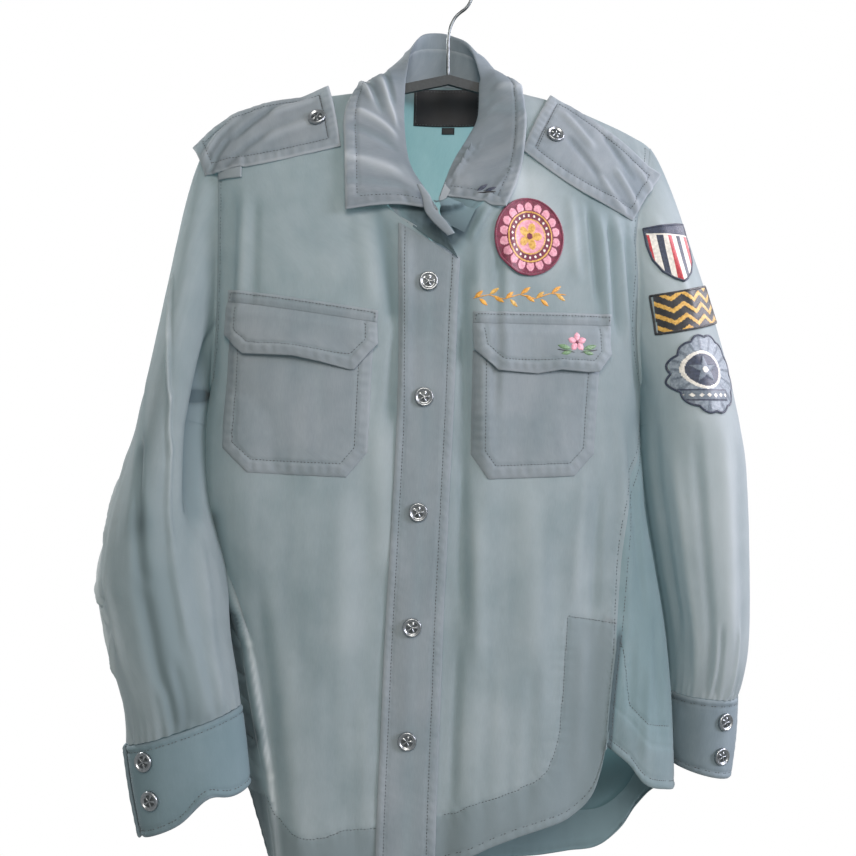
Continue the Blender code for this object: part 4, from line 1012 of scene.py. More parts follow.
def back_cut():
    right = arm[(-1, "B")] + [(a + float(girth_at(d)), d) for a, d in seam[-1]]
    left = arm[(1, "B")] + seam[1]
    over_left = shoulder_edge(NECK_BACK[0][0], 1, "B")[:-1]
    over_right = shoulder_edge(NECK_BACK[-1][0], -1, "B")[:-1]
    top = ([left[0]] + over_left[::-1] + neck_edge(NECK_BACK, np.linspace(0, 1, BACK_NECK_COLS + 1), "B")
           + over_right + [right[0]])
    foot = resample([left[-1]] + on_arc(HEM_BACK) + [right[-1]], np.linspace(0, 1, len(top)))
    return coons(top, foot, left, right)


def fine_cut(cut, cell):
    """Fine grid of a cut piece, its first rows closer where the cloth turns over the shoulder."""
    fine = refine(cut, cell)
    shares = np.array([0.0, 0.012, 0.05, 0.12, 0.22, 0.36, 0.52, 0.7, 0.86])
    k = 3
    head = np.array([fine[0] + (fine[k] - fine[0]) * s for s in shares])
    return np.concatenate([head, fine[k:]])


cuts = {"front_left": fine_cut(front_cut(1), CLOTH_CELL), "front_right": fine_cut(front_cut(-1), CLOTH_CELL),
        "back": fine_cut(back_cut(), BACK_CELL)}
FACINGS = {"front_left": [FACING_LEFT, FACING_SIDE], "front_right": [FACING_RIGHT], "back": [FACING_SIDE]}
# Upper edges of the facings, from low x to high
FACING_TOPS = {"front_left": [FACING_LEFT[-1], (-3, 765)] + FACING_LEFT[9:0:-1] + [(143, 605)],
               "front_right": FACING_RIGHT + [FACING_RIGHT_END]}
BODY_MIDDLE = np.array([0.0, 0.0, -450.0])


def rise_to(value, start, end):
    s = np.clip((value - start) / (end - start), 0, 1)
    return s * s * (3 - 2 * s)


def body_panel(name, cut):
    """A front or the back: its grid with its relief, its normals and its tone of wear and painted light."""
    a, down = cut[..., 0], cut[..., 1]
    grid = body(a, down)
    x = grid[..., 0]
    n = normals(grid, centre=BODY_MIDDLE)
    left, right, top, bottom = runs(grid)
    is_back = name == "back"
    seed = {"front_left": 11, "front_right": 31, "back": 51}[name]
    folds = creases(x, down, BACK_CREASES if is_back else FRONT_CREASES)
    folds = folds * np.clip(np.abs(grid[..., 1]) / 25, 0, 1)
    relief = crumple(a, down, seed, 1.1 if is_back else 0.9)
    # the tone starts as painted shade in the dips of the creases and painted highlight on their ridges
    hold, tone = np.ones(a.shape), 0.035 * np.clip(folds, -6, 3)
    for side in "LR" if is_back else "R":
        gap = right if side == "R" else left
        vented = (name, side) in (("front_left", "R"), ("back", "L"))
        vent = rise_to(down, VENT_TOP, VENT_FULL) if vented else 0.0
        hold = hold * np.clip(gap / 10, 0, 1)
        relief = relief + sewn_line(np.abs(gap - SEAM_STITCH), top, seed + 3, 0.35, 0.5) * (down > TIP_DOWN)
        relief = relief - 0.9 * np.exp(-(gap / 2.0) ** 2) * (1 - vent)
        # below the vent the front edge stands off and the back lies under it
        relief = relief + (3.2 if name == "front_left" else -2.2) * np.exp(-gap / 11) * vent
        hold = np.maximum(hold, vent)
        if is_back:
            # painted shadow in the slit beside the side opening
            tone = tone - 2.2 * np.exp(-((gap - 4.4) / 3.6) ** 2) * vent * (1 - rise_to(down, 715, 745))
    for line in FACINGS[name]:
        gap, run = line_field(a, down, on_arc(line))
        relief = relief + sewn_line(gap, run, seed + 7, 0.8, 0.42)
    if is_back:
        relief = relief + sewn_line(np.abs(bottom - BACK_HEM), left, seed + 8, 0.6, 0.3)
    # the side cloth swings out behind the viewer's left sleeve
    if name != "front_left":
        below = rise_to(down, 380, 440)
        relief = relief + 7.5 * below * (1 - rise_to(down, 740, 810)) * rise_to(-x, 145, 190)
        hold = np.where(x < -150, np.maximum(hold, below), hold)
    hem = sewn_edge(bottom, left, seed + 9, HEM_STITCH, 0.34)
    relief = relief * np.clip(np.minimum(top, 30) / 6, 0.25, 1) + hem * (bottom < 40)
    tone = tone + 0.12 * np.exp(-(bottom / 1.6) ** 2)
    grid = grid + n * (relief * np.clip(hold, 0.15, 1))[..., None]
    x = grid[..., 0]
    tone = tone + shadows(x, down, PANEL_PAINTED_LIGHT[name])
    # painted shade on the two layers at the hems, where less light comes through
    if name in FACING_TOPS:
        tone = tone - 0.34 * rise_to(down - np.interp(x, *zip(*FACING_TOPS[name])), -0.8, 0.8)
    if is_back:
        tone = tone + shadows(x, down, TAIL_PAINTED_SHADE) * rise_to(grid[..., 1], 5, 40)
    return (grid, normals(grid, centre=BODY_MIDDLE),
            tone_of(tone + 0.06 * noise(a / 45, down / 120, seed + 4)))


panels, panel_n, panel_tree = {}, {}, {}
for name, cut in cuts.items():
    grid, n, tone = body_panel(name, cut)
    panels[name], panel_n[name], panel_tree[name] = grid, n, tree_of(grid)
    extra = []
    if name == "back":
        # a turned strip on the free edge of the side opening, painted in shade
        low = int(np.argmin(np.abs(grid[:, 0, 2] + 604)))
        under = rimmed(grid[low:], n[low:], [(3.0, 1.2), (8.0, 1.8), (13.0, 2.4)], "L")
        extra.append((under[:, :4], np.full((len(under), 4), -0.8)))
    lay(name + "_cloth", rimmed(grid, n, TURNED_HEM, "B"), BACK_COTTON if name == "back" else WASHED_COTTON,
        tone=carried(tone, TURNED_HEM, "B"), extra=extra)
body_tree = tree_of(*panels.values())


def facing(name, host, edge, line):
    """Inner facing of a hem: the cloth between the edge and its stitch line, laid inside."""
    outer, inner = [np.array(resample(way, np.linspace(0, 1, 150))) for way in (edge, line)]
    w = np.linspace(0.02, 1, 18)[:, None, None]
    flat = outer[None] * (1 - w) + inner[None] * w
    a, down = flat[..., 0], flat[..., 1]
    base = body(a, down)
    n = body_normal(a, down)
    for k in np.ndindex(*a.shape):
        near, normal, _, _ = panel_tree[host].find_nearest(Vector(base[k]))
        base[k] = near - (normal if normal.dot(Vector(n[k])) > 0 else -normal) * 1.5
    # the facings are painted a little into shade
    piece = lay(name, base, DOUBLED_COTTON, tone=np.full(a.shape, 0.45))


# Free edges of the fronts, from the side opening round to the placket, as arc and height
free_side = cuts["front_left"][:, -1]
free_side = free_side[free_side[:, 1] > 605]
facing("hem_facing_left", "front_left",
       [tuple(p) for p in [*free_side, *cuts["front_left"][-1][::-1][1:]]], on_arc(FACING_LEFT))
facing("hem_facing_right", "front_right", [tuple(p) for p in cuts["front_right"][-1][::-1]],
       on_arc(FACING_RIGHT + [FACING_RIGHT_END]))
FACING_ROWS = 15
low_grid = panels["back"][-FACING_ROWS:] - panel_n["back"][-FACING_ROWS:] * 2.8
# the back's hem facing is painted in shade
piece = lay("hem_facing_back", low_grid, DOUBLED_COTTON, tone=np.full(low_grid.shape[:2], 0.1))


# Sleeves, set into the armholes
def ring_points(row, turn, grow=0.0):
    """Points round one sleeve ring at turns: outer, front, inner, back."""
    ox, od, ix, idn, cy, depth = row
    outer, inner = np.array([ox, cy, -od]), np.array([ix, cy, -idn])
    mid, half = (outer + inner) / 2, (outer - inner) / 2
    turn, grow = np.asarray(turn, float), np.asarray(grow, float)
    size = np.linalg.norm(half)
    return (mid + half * ((1 + grow / size) * np.cos(turn))[..., None]
            + np.array([0.0, -1.0, 0.0]) * ((depth / 2 + grow) * np.sin(turn))[..., None])


def sleeve_grid(side, table, count=168):
    """Sleeve rings from the armhole to the wrist, and the turn of every column."""
    front_edge = panels["front_left" if side > 0 else "front_right"][:, -1]
    back_edge = panels["back"][:, 0 if side > 0 else -1]
    hole = front_edge[front_edge[:, 2] >= -UNDERARM_DOWN - 0.5]
    rear = back_edge[back_edge[:, 2] >= -UNDERARM_DOWN - 0.5]
    half = count // 2
    turn = np.arange(count) * 2 * PI / count
    halves = []
    for edge in (hole, rear[::-1]):
        run = lengths(edge)
        halves.append(np.stack([np.interp(np.arange(half) / half * run[-1], run, edge[:, c])
                                for c in range(3)], -1))
    ring0 = np.concatenate(halves)
    low = np.clip((-ring0[:, 2] - 240) / 130, 0, 1)
    start = ring0 + np.stack([side * (0.4 + 1.2 * low), 0 * low, 0 * low], -1)
    first = ring_points(table[0], turn)
    rings = [ring0 - np.array([side * 5.0, 0.0, 0.0]), start]
    c, s_turn = np.cos(turn), np.sin(turn)
    reach, back_in = SLEEVE_HEAD[side]
    p1 = start + np.stack([side * (3 + (reach - 3) * (1 + c) / 2), -12 * s_turn, 0 * c - 13], -1)
    p2 = first + np.stack([-side * back_in * (1 + c) / 2, 0 * c, 60 + 50 * c], -1)
    for j in range(1, 8):
        s = j / 8
        rings.append(start * (1 - s) ** 3 + p1 * 3 * s * (1 - s) ** 2 + p2 * 3 * s * s * (1 - s)
                     + first * s ** 3)
    rings += [ring_points(row, turn) for row in table]
    rings = np.array(rings)
    steps = [2] + [max(1, int(math.ceil(np.linalg.norm(rings[k + 1] - rings[k], axis=-1).max() / 2.5)))
                   for k in range(1, len(rings) - 1)]
    return spline_rows(rings, steps), turn


sleeves = {}
for name, side, table in (("sleeve_left", 1, SLEEVE_LEFT), ("sleeve_right", -1, SLEEVE_RIGHT)):
    grid, turn = sleeve_grid(side, table)
    middle = grid.mean(axis=1, keepdims=True)
    n = normals(grid, True, centre=middle)
    degrees = np.degrees(turn)[None] * np.ones((len(grid), 1))
    down = -grid[..., 2]
    _, _, top, bottom = runs(grid)
    fade = np.clip((top - 8) / 25, 0, 1) * np.clip(bottom / 10 + 0.2, 0, 1)
    folds = creases(degrees, down, SLEEVE_CREASES[side]) * fade
    relief = folds.copy()
    if side < 0:
        # the inner side of the viewer's left sleeve runs behind the body
        behind = rise_to(down, 330, 420) * (1 - rise_to(down, 520, 620))
        relief += 13 * np.exp(-((degrees - 215) / 26) ** 2) * behind
    relief += crumple(degrees * 1.1 + 40, down, 71 + side, 0.8) * np.clip(top / 12, 0.1, 1)
    # the seam allowance lies towards the body: a low ridge, then the stitch furrow
    relief += 0.7 * np.exp(-((top - 4.5) / 2.2) ** 2)
    # gathers above the cuff
    relief += 0.9 * np.exp(-bottom / 16) * ripple(degrees, 81 + side, 11.0)
    grid = grid + n * relief[..., None]
    sleeves[name] = grid
    # tone: painted shade in the dips of the creases and painted highlight on their ridges, random wash tone,
    # and the painted shade and highlight of the table
    tone = tone_of(0.035 * folds.clip(-9, 4), 0.06 * noise(degrees / 40, down / 120, 91),
                   shadows(degrees, down, SLEEVE_PAINTED_LIGHT[side]),
                   shadows(degrees - 360, down, SLEEVE_PAINTED_LIGHT[side]))
    lay(name + "_cloth", grid, WASHED_COTTON, True, tone)

CUFF_STITCH = 5.5
CUFF_EDGE = [(0.4, 0.4), (0.5, 1.1), (0.2, 1.8), (-1.0, 2.3), (-9.0, 2.4)]
cuffs = {}
for name, table, side in (("cuff_left", CUFF_LEFT, 1), ("cuff_right", CUFF_RIGHT, -1)):
    turn = np.radians(np.linspace(-10, 364, 190))
    lap = 3.4 * np.clip(((np.degrees(turn) + 10) / 22 - 13.5) / 3.0, 0, 1)
    grid = np.array([ring_points(row, turn, lap) for row in table])
    grid = spline_rows(grid, [22] * (len(table) - 1))
    if side < 0:
        curl = np.exp(-((grid[..., 0] + 212) / 15) ** 2) * (grid[..., 1] < -88)
        low_share = (np.arange(len(grid)) / (len(grid) - 1))[:, None] ** 3
        grid[..., 2] += 13 * curl * low_share
        grid[..., 1] -= 3 * curl * low_share
    n = normals(grid, centre=grid.mean(axis=(0, 1), keepdims=True))
    left, _, top, bottom = runs(grid)
    gap, run = quad_field(grid, "RTB")
    relief = 1.0 + sewn_edge(gap, run, 101 + side, CUFF_STITCH, 0.22) + crumple(left, top, 105 + side, 0.45)
    relief += 0.8 * np.sin(PI * top / (top + bottom))
    grid = grid + n * relief[..., None]
    cuffs[name] = grid
    # pale edges from wear, and painted shade, deeper on the viewer's left cuff
    tone = 0.14 * np.exp(-(gap / 1.2) ** 2) + 0.41 + 0.11 * side
    lay_rimmed(name, grid, n, CUFF_COTTON, tone, CUFF_EDGE)
    cuff_tree = tree_of(grid)
    centre = Vector(grid.mean(axis=(0, 1)))
    for side_name in "TBR":
        sew_parts(name, densify(inset_path(grid, side_name, CUFF_STITCH), 1.0), cuff_tree, 24,
                  lambda mid: Vector(mid) - centre)


# Collar: stand up from the neckline, fall over the roll line
def collar_grids():
    """Stand and fall as (row, station, 3) grids, coarse as they are cut."""
    f_right, f_left = front_cut(-1), front_cut(1)
    back_row = back_cut()[0]
    stations = ([tuple(row[0]) for row in f_right[:NECK_ROWS + 1]][::-1]
                + [tuple(p) for p in back_row[SHOULDER_COLS:SHOULDER_COLS + BACK_NECK_COLS + 1][::-1][1:-1]]
                + [tuple(row[0]) for row in f_left[:NECK_ROWS + 1]])
    pts = body(np.array([p[0] for p in stations]), np.array([p[1] for p in stations]), fine=False)
    last = len(pts) - 1
    stand, fall = [], []
    for k in range(len(pts)):
        n = Vector(pts[k])
        roll, edge = [Vector([smooth(COLLAR, k, c) for c in cols]) for cols in ((1, 2, 3), (4, 5, 6))]
        if k == last:
            n = n.lerp(Vector(pts[k - 1]), 0.35)
        up = (roll - n).normalized()
        seam_pt = n.lerp(roll, STAND_SHARE)
        base = n + up * 0.4
        if k == 0:
            base += Vector((0, -2.5, 0))
        stand.append([base, base.lerp(seam_pt, 0.5), seam_pt + up * 0.6])
        down_dir = (edge - roll).normalized()
        in_dir = (seam_pt - roll).normalized()
        over_dir = (down_dir - in_dir).normalized()
        over = -(down_dir + in_dir).normalized()
        low, high = roll + in_dir * 2.0 - over_dir * 2.2, roll + over * 0.6
        outer = roll + down_dir * 2.5 + over_dir * 2.4
        bulge = over * 1.0 + over_dir * 4.5 + Vector((0, 0, -6.0 * math.exp((k - last) / 0.8)))
        fall.append([seam_pt, low, high, outer, outer.lerp(edge, 0.33) + bulge,
                     outer.lerp(edge, 0.67) + bulge * 0.8, edge])
    tips = [[Vector(p) for p in tip] for tip in STAND_TIP]
    stand = np.array([[list(p) for p in col] for col in tips + stand]).swapaxes(0, 1)
    fall = np.array([[list(p) for p in col] for col in fall]).swapaxes(0, 1)
    return stand, fall


stand_cut, fall_cut = collar_grids()
stand = refine(stand_cut, 2.2)
n = normals(stand, centre=np.array([-10.0, -20.0, -100.0]))
left, right, top, bottom = runs(stand)
stand = stand + n * (crumple(left, top, 121, 0.5) + sewn_line(np.abs(bottom - 3.0), left, 123, 0.4, 0.3)
                     + sewn_line(np.abs(top - 5.0), left, 125, 0.5, 0.4))[..., None]
# Folded front end of the stand: upper and lower edge, turned forward below the leaf
STRIP = [((-33, -78, -220), (-37, -78, -220)), ((-26, -85, -231), (-33, -85, -233)),
         ((-23, -92, -243), (-31, -91, -246)), ((-14, -95.5, -254), (-23, -94, -257)),
         ((-6, -96, -265), (-12, -95, -267))]
edges = refine(np.array(STRIP, float).swapaxes(0, 1), 1.2)
up_edge, low_edge = edges[0], edges[-1]
across = low_edge - up_edge
bulge = np.array([-0.2, -0.9, 0.1])
strip = np.array([up_edge, up_edge + across * 0.12 + bulge * 0.7, up_edge + across * 0.35 + bulge,
                  up_edge + across * 0.65 + bulge, up_edge + across * 0.9 + bulge * 0.6, low_edge,
                  up_edge + across * 0.5 - bulge * 0.5, up_edge])
# painted highlight on the stand's folded upper edge
strip_tone = np.full(strip.shape[:2], 0.56)
# the other end of the stand, in the shade between both leaves
END = np.array([[(-21, -66, -231), (15, -77, -240)], [(-13, -84, -254), (4, -84, -262)]], float)
v, w = np.meshgrid(np.linspace(0, 1, 22), np.linspace(0, 1, 22), indexing="ij")
v, w = v[..., None], w[..., None]
end = (END[0, 0] * (1 - w) + END[0, 1] * w) * (1 - v) + (END[1, 0] * (1 - w) + END[1, 1] * w) * v
end = settled(end + np.array([0, -1.5, 0]) * np.sin(PI * w) * np.sin(PI * v), body_tree, 1.3, (0, -1, 0),
              20.0)
# painted shade, deepest towards its lower edge
end_tone = 0.1 - 0.9 * v[..., 0] - 0.3 * np.exp(-(w[..., 0] / 0.15) ** 2)
# a pale upper edge from wear, and painted shade over both ends of the stand
lay("collar_stand_cloth", stand, COLLAR_COTTON,
    tone=tone_of(0.1 * np.exp(-(bottom / 3) ** 2), -1.2 * np.clip((66 - left) / 20, 0, 1),
                 -0.9 * np.clip((50 - right) / 30, 0, 1)), extra=[(strip, strip_tone), (end, end_tone)])

fall = refine(fall_cut, 1.7)
n = normals(fall, centre=np.array([-10.0, 60.0, -240.0]))
# the leaf's outer side is the one that the fold turns over
flip = np.sign((n[-8:, fall.shape[1] // 6] * np.array([-0.3, -1.0, 0.1])).sum())
n = n * (flip if flip else 1)
left, right, top, bottom = runs(fall)
leaf = np.clip((top - 16) / 8, 0, 1)
fall_keep = np.clip((top - 14) / 14, 0, 1)
under = tree_of(*panels.values(), stand)
fall_keep = fall_keep * np.clip(-fall[-1, :, 1] / 14, 0, 1)[None]
fall = settled(fall, under, 1.9, (0, -0.6, 0.8), 5.0, keep=fall_keep)
gap, run = quad_field(fall, "LRB")
# backlit crinkles over the viewer's left part of the leaf and along its roll
COLLAR_CREASES = rows_of("""
    92 22 150 40 4 2.4; 100 34 158 54 4 -2.2; 112 44 168 66 4 2.2; 120 24 180 40 3.5 -1.8;
    66 24 88 70 6 -1.8; 80 22 104 62 5 2.2; 36 30 56 84 8 1.8; 20 26 30 90 7 -1.4; 300 26 336 56 5 2;
    330 26 352 74 6 -1.8; 368 28 396 74 7 1.8; 392 26 420 70 6 -1.4; 200 24 230 40 5 1.2;
    240 24 262 38 5 -1.2""")
relief = (sewn_edge(gap, run, 131, TOPSTITCH - 0.5, 0.42) * leaf + crumple(left, top, 133, 1.1) * leaf
          + creases(left, top, COLLAR_CREASES) * leaf)
fall = settled(fall + n * relief[..., None], under, 1.5, (0, -0.6, 0.8), 6.0, keep=fall_keep)
FALL_EDGE = FOLDED_EDGE[:4] + [(-3.0, 2.0), (-16.0, 2.2)]
# pale edges from wear, painted highlight on the raised crinkles and painted shade in their dips
tone = 0.5 + 0.16 * np.exp(-(gap / 1.3) ** 2) + 0.08 * np.clip(relief, -1.0, 2.5)
lay_rimmed("collar_fall", fall, n, COLLAR_COTTON, tone, FALL_EDGE, "LRB")
fall_tree = tree_of(fall)
path = inset_path(fall[int(len(fall) * 0.25):], "LBR", TOPSTITCH - 0.5)
sew_parts("collar_fall", densify(path, 1.0), fall_tree, 40,
          lambda mid: (mid[0] * 0.01, -0.3 if mid[1] < 20 else 1.0, 0.5))
FRONT = (0, -1, 0)

# Placket band over both front edges
BAND_ROWS, BAND_COLS = 290, 30
v, w = np.meshgrid(np.linspace(0, 1, BAND_ROWS), np.linspace(0, 1, BAND_COLS), indexing="ij")
first = BAND_TOP_LEFT + (BAND_TOP_RIGHT - BAND_TOP_LEFT) * w
down = first + (BAND_HEM - first) * v
band_a = column(BAND, 1)(down) + (column(BAND, 2)(down) - column(BAND, 1)(down)) * w
lift = column(BAND, 3)(down)
band_n = body_normal(band_a, down)
grid = body(band_a, down) + band_n * (2.6 + lift * w * w)[..., None]
grid = settled(grid, body_tree, 2.1, (0, -1, 0), rounds=2)
left, right, top, bottom = runs(grid)
relief = (sewn_edge(left, top, 141, SEAM_STITCH, 0.32) + sewn_edge(right, top + 91, 143, HEM_STITCH, 0.34)
          - 0.5 * np.exp(-(np.minimum(top, bottom) / 1.2) ** 2) + crumple(left + 7, top, 145, 0.4)
          + 0.45 * noise(left / 30, top / 38, 147))
band = grid + band_n * relief[..., None]
# pale edges from wear, with painted highlight where the relief rises and painted shade where it dips
tone = 0.5 + 0.12 * np.exp(-(np.minimum(left, right) / 1.1) ** 2) + 0.05 * relief.clip(-1, 1)
lay_rimmed("placket_band", band, band_n, DOUBLED_COTTON, tone)
band_tree = tree_of(band)
for side, inset in (("L", SEAM_STITCH), ("R", HEM_STITCH)):
    sew("placket_band", inset_path(band, side, inset), band_tree, FRONT)


# Pockets, flaps and the sewn-down bands above them
def outline_rows(outline, cell):
    """Fine flat grid over a four- or six-cornered outline."""
    if len(outline) == 4:
        tl, tr, br, bl = outline
        left, right = [tl, bl], [tr, br]
    else:
        tl, tr, r1, r2, l2, l1 = outline
        left, right = [tl, l1, l2], [tr, r1, r2]
    cols = int(max(math.hypot(r[0] - l[0], r[1] - l[1]) for l, r in zip(left, right)) / cell) + 1
    rows = []
    for k in range(len(left) - 1):
        span = max(math.hypot(*np.subtract(edge[k + 1], edge[k])) for edge in (left, right))
        steps = int(span / cell) + 1
        for j in range(steps + (1 if k == len(left) - 2 else 0)):
            s = j / steps
            a, b = [np.array(edge[k]) * (1 - s) + np.array(edge[k + 1]) * s for edge in (left, right)]
            rows.append([a + (b - a) * i / cols for i in range(cols + 1)])
    return np.array(rows)


def laid_on_front(outline, cell, low, high, inset, seed, tree, need, skip=(), puff=12.0):
    """A flat-cut piece laid on the front: pressed at its edges, easy between them."""
    flat = outline_rows(outline, cell)
    x, down = flat[..., 0], flat[..., 1]
    gap, _ = line_field(x, down, outline, True)
    swell = np.clip(gap / puff, 0, 1)
    base = front(x, down, low + (high - low) * swell * swell * (3 - 2 * swell))
    n = body_normal(arc_at(down, x, "F"), down)
    base = settled(base, tree, need, FRONT, rounds=2)
    count = len(outline)
    free, length = np.full(x.shape, 1e3), np.zeros(x.shape)
    for k in [k for k in range(count) if k not in skip]:
        g, r = line_field(x, down, [outline[k], outline[(k + 1) % count]])
        nearer = g < free
        free, length = np.where(nearer, g, free), np.where(nearer, r + 150 * k, length)
    relief = sewn_edge(free, length, seed, inset, 0.42) + crumple(x, down, seed + 1, 0.5)
    return base + n * relief[..., None], n, free, relief


laid, laid_tree = {}, {}
for name, outline, seed in (("pocket_right", POCKET_RIGHT, 161), ("pocket_left", POCKET_LEFT, 151)):
    laid[name] = laid_on_front(outline, 1.7, 1.5, 3.2, TOPSTITCH, seed, body_tree, 1.0, (0,))
for name, outline in (("flap_band_right", TOP_RIGHT), ("flap_band_left", TOP_LEFT)):
    laid[name] = laid_on_front(outline, 1.5, 2.0, 2.6, 3.0, 171, body_tree, 1.4, (2,), 5.0)
# How far each flap's free edge lifts, along its width
WAVE_SHARES = [0, 0.15, 0.45, 0.62, 0.82, 1]
for side, outline, seed, waves in (("right", FLAP_RIGHT, 191, [0, 0.2, 1.0, 0.3, -0.9, 0.2]),
                                   ("left", FLAP_LEFT, 181, [0.2, 0.1, -0.5, 0.6, 0.1, 0.5])):
    flat = outline_rows(outline, 1.5)
    tree = tree_of(panels["front_" + side], laid["pocket_" + side][0])
    (x0, d0), (x1, d1) = outline[:2]
    below = flat[..., 1] - np.interp(flat[..., 0], [x0, x1], [d0, d1])
    grid, n, gap, relief = laid_on_front(outline, 1.5, 5.0, 6.6, TOPSTITCH - 1, seed, tree, 1.9, (0,), 9.0)
    # pressed down along the line where the flap is sewn on
    drop = 2.4 * np.exp(-np.maximum(below, 0) / 5.0)
    grid = settled(grid - n * drop[..., None], tree, 1.7, FRONT, rounds=2)
    hang = rise_to(below, 8, 40)
    wave = np.interp((flat[..., 0] - x0) / (x1 - x0), WAVE_SHARES, waves)
    grid = (grid + n * (2.2 * hang * (1.1 + wave))[..., None]
            + np.array([0.0, 0.0, 3.4]) * (hang * wave)[..., None])
    laid["flap_" + side] = (grid, n, gap, relief)
for name, (grid, n, gap, relief) in laid.items():
    # pale edges from wear, with painted highlight where the relief rises and painted shade where it dips
    tone = 0.5 + 0.12 * np.exp(-(gap / 1.2) ** 2) + 0.06 * relief.clip(-1, 1)
    lay_rimmed(name, grid, n, DOUBLED_COTTON, tone)
    laid_tree[name] = tree_of(grid)


def sew_flat(host, corners, tree, lift):
    """Stitches over the front along flat corners, dropped onto the host."""
    line = densify(np.array(corners, float), 1.5)
    sew(host, front(line[:, 0], line[:, 1], np.full(len(line), lift)), tree, FRONT)


def level_out(mid):
    """Outwards from the body's middle line, level."""
    return mid[0], mid[1], 0


for name, outline, inset, lift in (("pocket_right", POCKET_RIGHT, TOPSTITCH, 3.0),
                                   ("pocket_left", POCKET_LEFT, TOPSTITCH, 3.0),
                                   ("flap_right", FLAP_RIGHT, TOPSTITCH - 1, 6.0),
                                   ("flap_left", FLAP_LEFT, TOPSTITCH - 1, 6.0)):
    inner = inset_outline(outline, inset, (0,))
    sew_flat(name, inner[1:] + [inner[0]], laid_tree[name], lift)
for name, outline in (("flap_band_right", TOP_RIGHT), ("flap_band_left", TOP_LEFT)):
    tl, tr, br, bl = inset_outline(outline, 2.2)
    sew_flat(name, [bl, tl, tr, br], laid_tree[name], 3.0)
for name, line in (("front_left", FACING_LEFT), ("front_right", FACING_RIGHT), ("back", FACING_SIDE)):
    sew_flat(name, line, panel_tree[name], 0.5)
for name, side in (("front_left", "R"), ("front_right", "R"), ("back", "L"), ("back", "R")):
    sew_parts(name, inset_path(panels[name][8:], side, SEAM_STITCH), panel_tree[name], 30, level_out)
for name, grid in panels.items():
    sew_parts(name, inset_path(grid, "B", HEM_STITCH), panel_tree[name], 24, level_out)

# Shoulder straps and the loop under the viewer's left one
LAID_UP = np.array([0.0, -0.75, 0.66])
flat = outline_rows(LOOP_RIGHT, 1.2)
grid = front(flat[..., 0], flat[..., 1], np.full(flat.shape[:2], 2.2))
worn_under = [*panels.values(), *sleeves.values()]
loop = settled(grid, tree_of(*worn_under, ring=(3, 4)), 1.2, LAID_UP)
n = normals(loop, away=LAID_UP)
rim = rimmed(loop, n, FOLDED_EDGE[:3])
lay("loop_right_cloth", rim, DOUBLED_COTTON, tone=np.full(rim.shape[:2], 0.55))
strap_under = tree_of(*worn_under, loop, ring=(3, 4))
straps = {}
STRAP_CREASES = {
    "strap_right": rows_of("""
        14 12 60 22 5 1.8; 50 14 96 34 6 -1.8; 84 8 128 24 5 1.8; 96 30 136 46 5 -1.6;
        20 40 70 50 6 1.4; 60 44 110 56 5 -1.2"""),
    "strap_left": rows_of("""
        16 20 60 36 6 1.8; 30 44 80 60 6 -1.6; 60 10 108 30 6 -1.8; 84 36 128 54 5 2;
        100 12 138 30 5 1.8; 70 56 120 68 5 1.4"""),
}
for name, table in (("strap_right", STRAP_RIGHT), ("strap_left", STRAP_LEFT)):
    rows = []
    for j in range(5):
        w = j / 4
        rows.append([np.array((tx, ty, -td)) * (1 - w) + np.array((bx, by, -bd)) * w
                     + LAID_UP * 5.0 * math.sin(PI * w) ** 0.8 for tx, ty, td, bx, by, bd in table])
    grid = settled(refine(np.array(rows), 1.6), strap_under, 2.2, LAID_UP)
    n = normals(grid, away=LAID_UP)
    gap, run = quad_field(grid, "LRTB")
    left, _, top, _ = runs(grid)
    relief = (sewn_edge(gap, run, 201, TOPSTITCH - 1, 0.4) + crumple(left, top, 203, 0.9)
              + creases(left, top, STRAP_CREASES[name]))
    grid = grid + n * relief[..., None]
    straps[name] = grid
    # a little paler overall, pale edges from wear, with painted highlight where the relief rises and painted
    # shade where it dips
    tone = 0.54 + 0.16 * np.exp(-(gap / 1.4) ** 2) + 0.06 * relief.clip(-1, 1)
    lay_rimmed(name, grid, n, COLLAR_COTTON, tone)
    sew(name, inset_path(grid, "LBRT", TOPSTITCH - 1), tree_of(grid), LAID_UP, closed=True)


# Small parts: patches, embroidery, label, buttons and hanger
def seen(px, py, tree):
    """Where the camera's line through a pixel meets a surface."""
    middle = FRAME_PIXELS / 2
    way = (forward + sideways * ((px - middle) / FOCAL_PIXELS)
           + Vector((0, 0, 1)) * ((middle - py) / FOCAL_PIXELS))
    return tree.ray_cast(camera_place / MM, way.normalized())[0]


# Rays start this far outside the surface that they look for
OUTSIDE = 400


def from_front(tree, x, down):
    """Where a level line from the front meets a surface, and the normal there towards the front."""
    point, normal, _, _ = tree.ray_cast(Vector((x, -OUTSIDE, -down)), Vector((0, 1, 0)))
    return point, normal if normal.y < 0 else -normal


def inside_outline(u, v, outline):
    """Which points lie within a closed flat outline."""
    pts = np.array(outline, float)
    hit = np.zeros(np.shape(u), bool)
    for (x0, y0), (x1, y1) in zip(pts, np.roll(pts, -1, 0)):
        if y0 == y1:
            continue
        cross = (y0 > v) != (y1 > v)
        hit ^= cross & (u < (x1 - x0) * (v - y0) / (y1 - y0) + x0)
    return hit


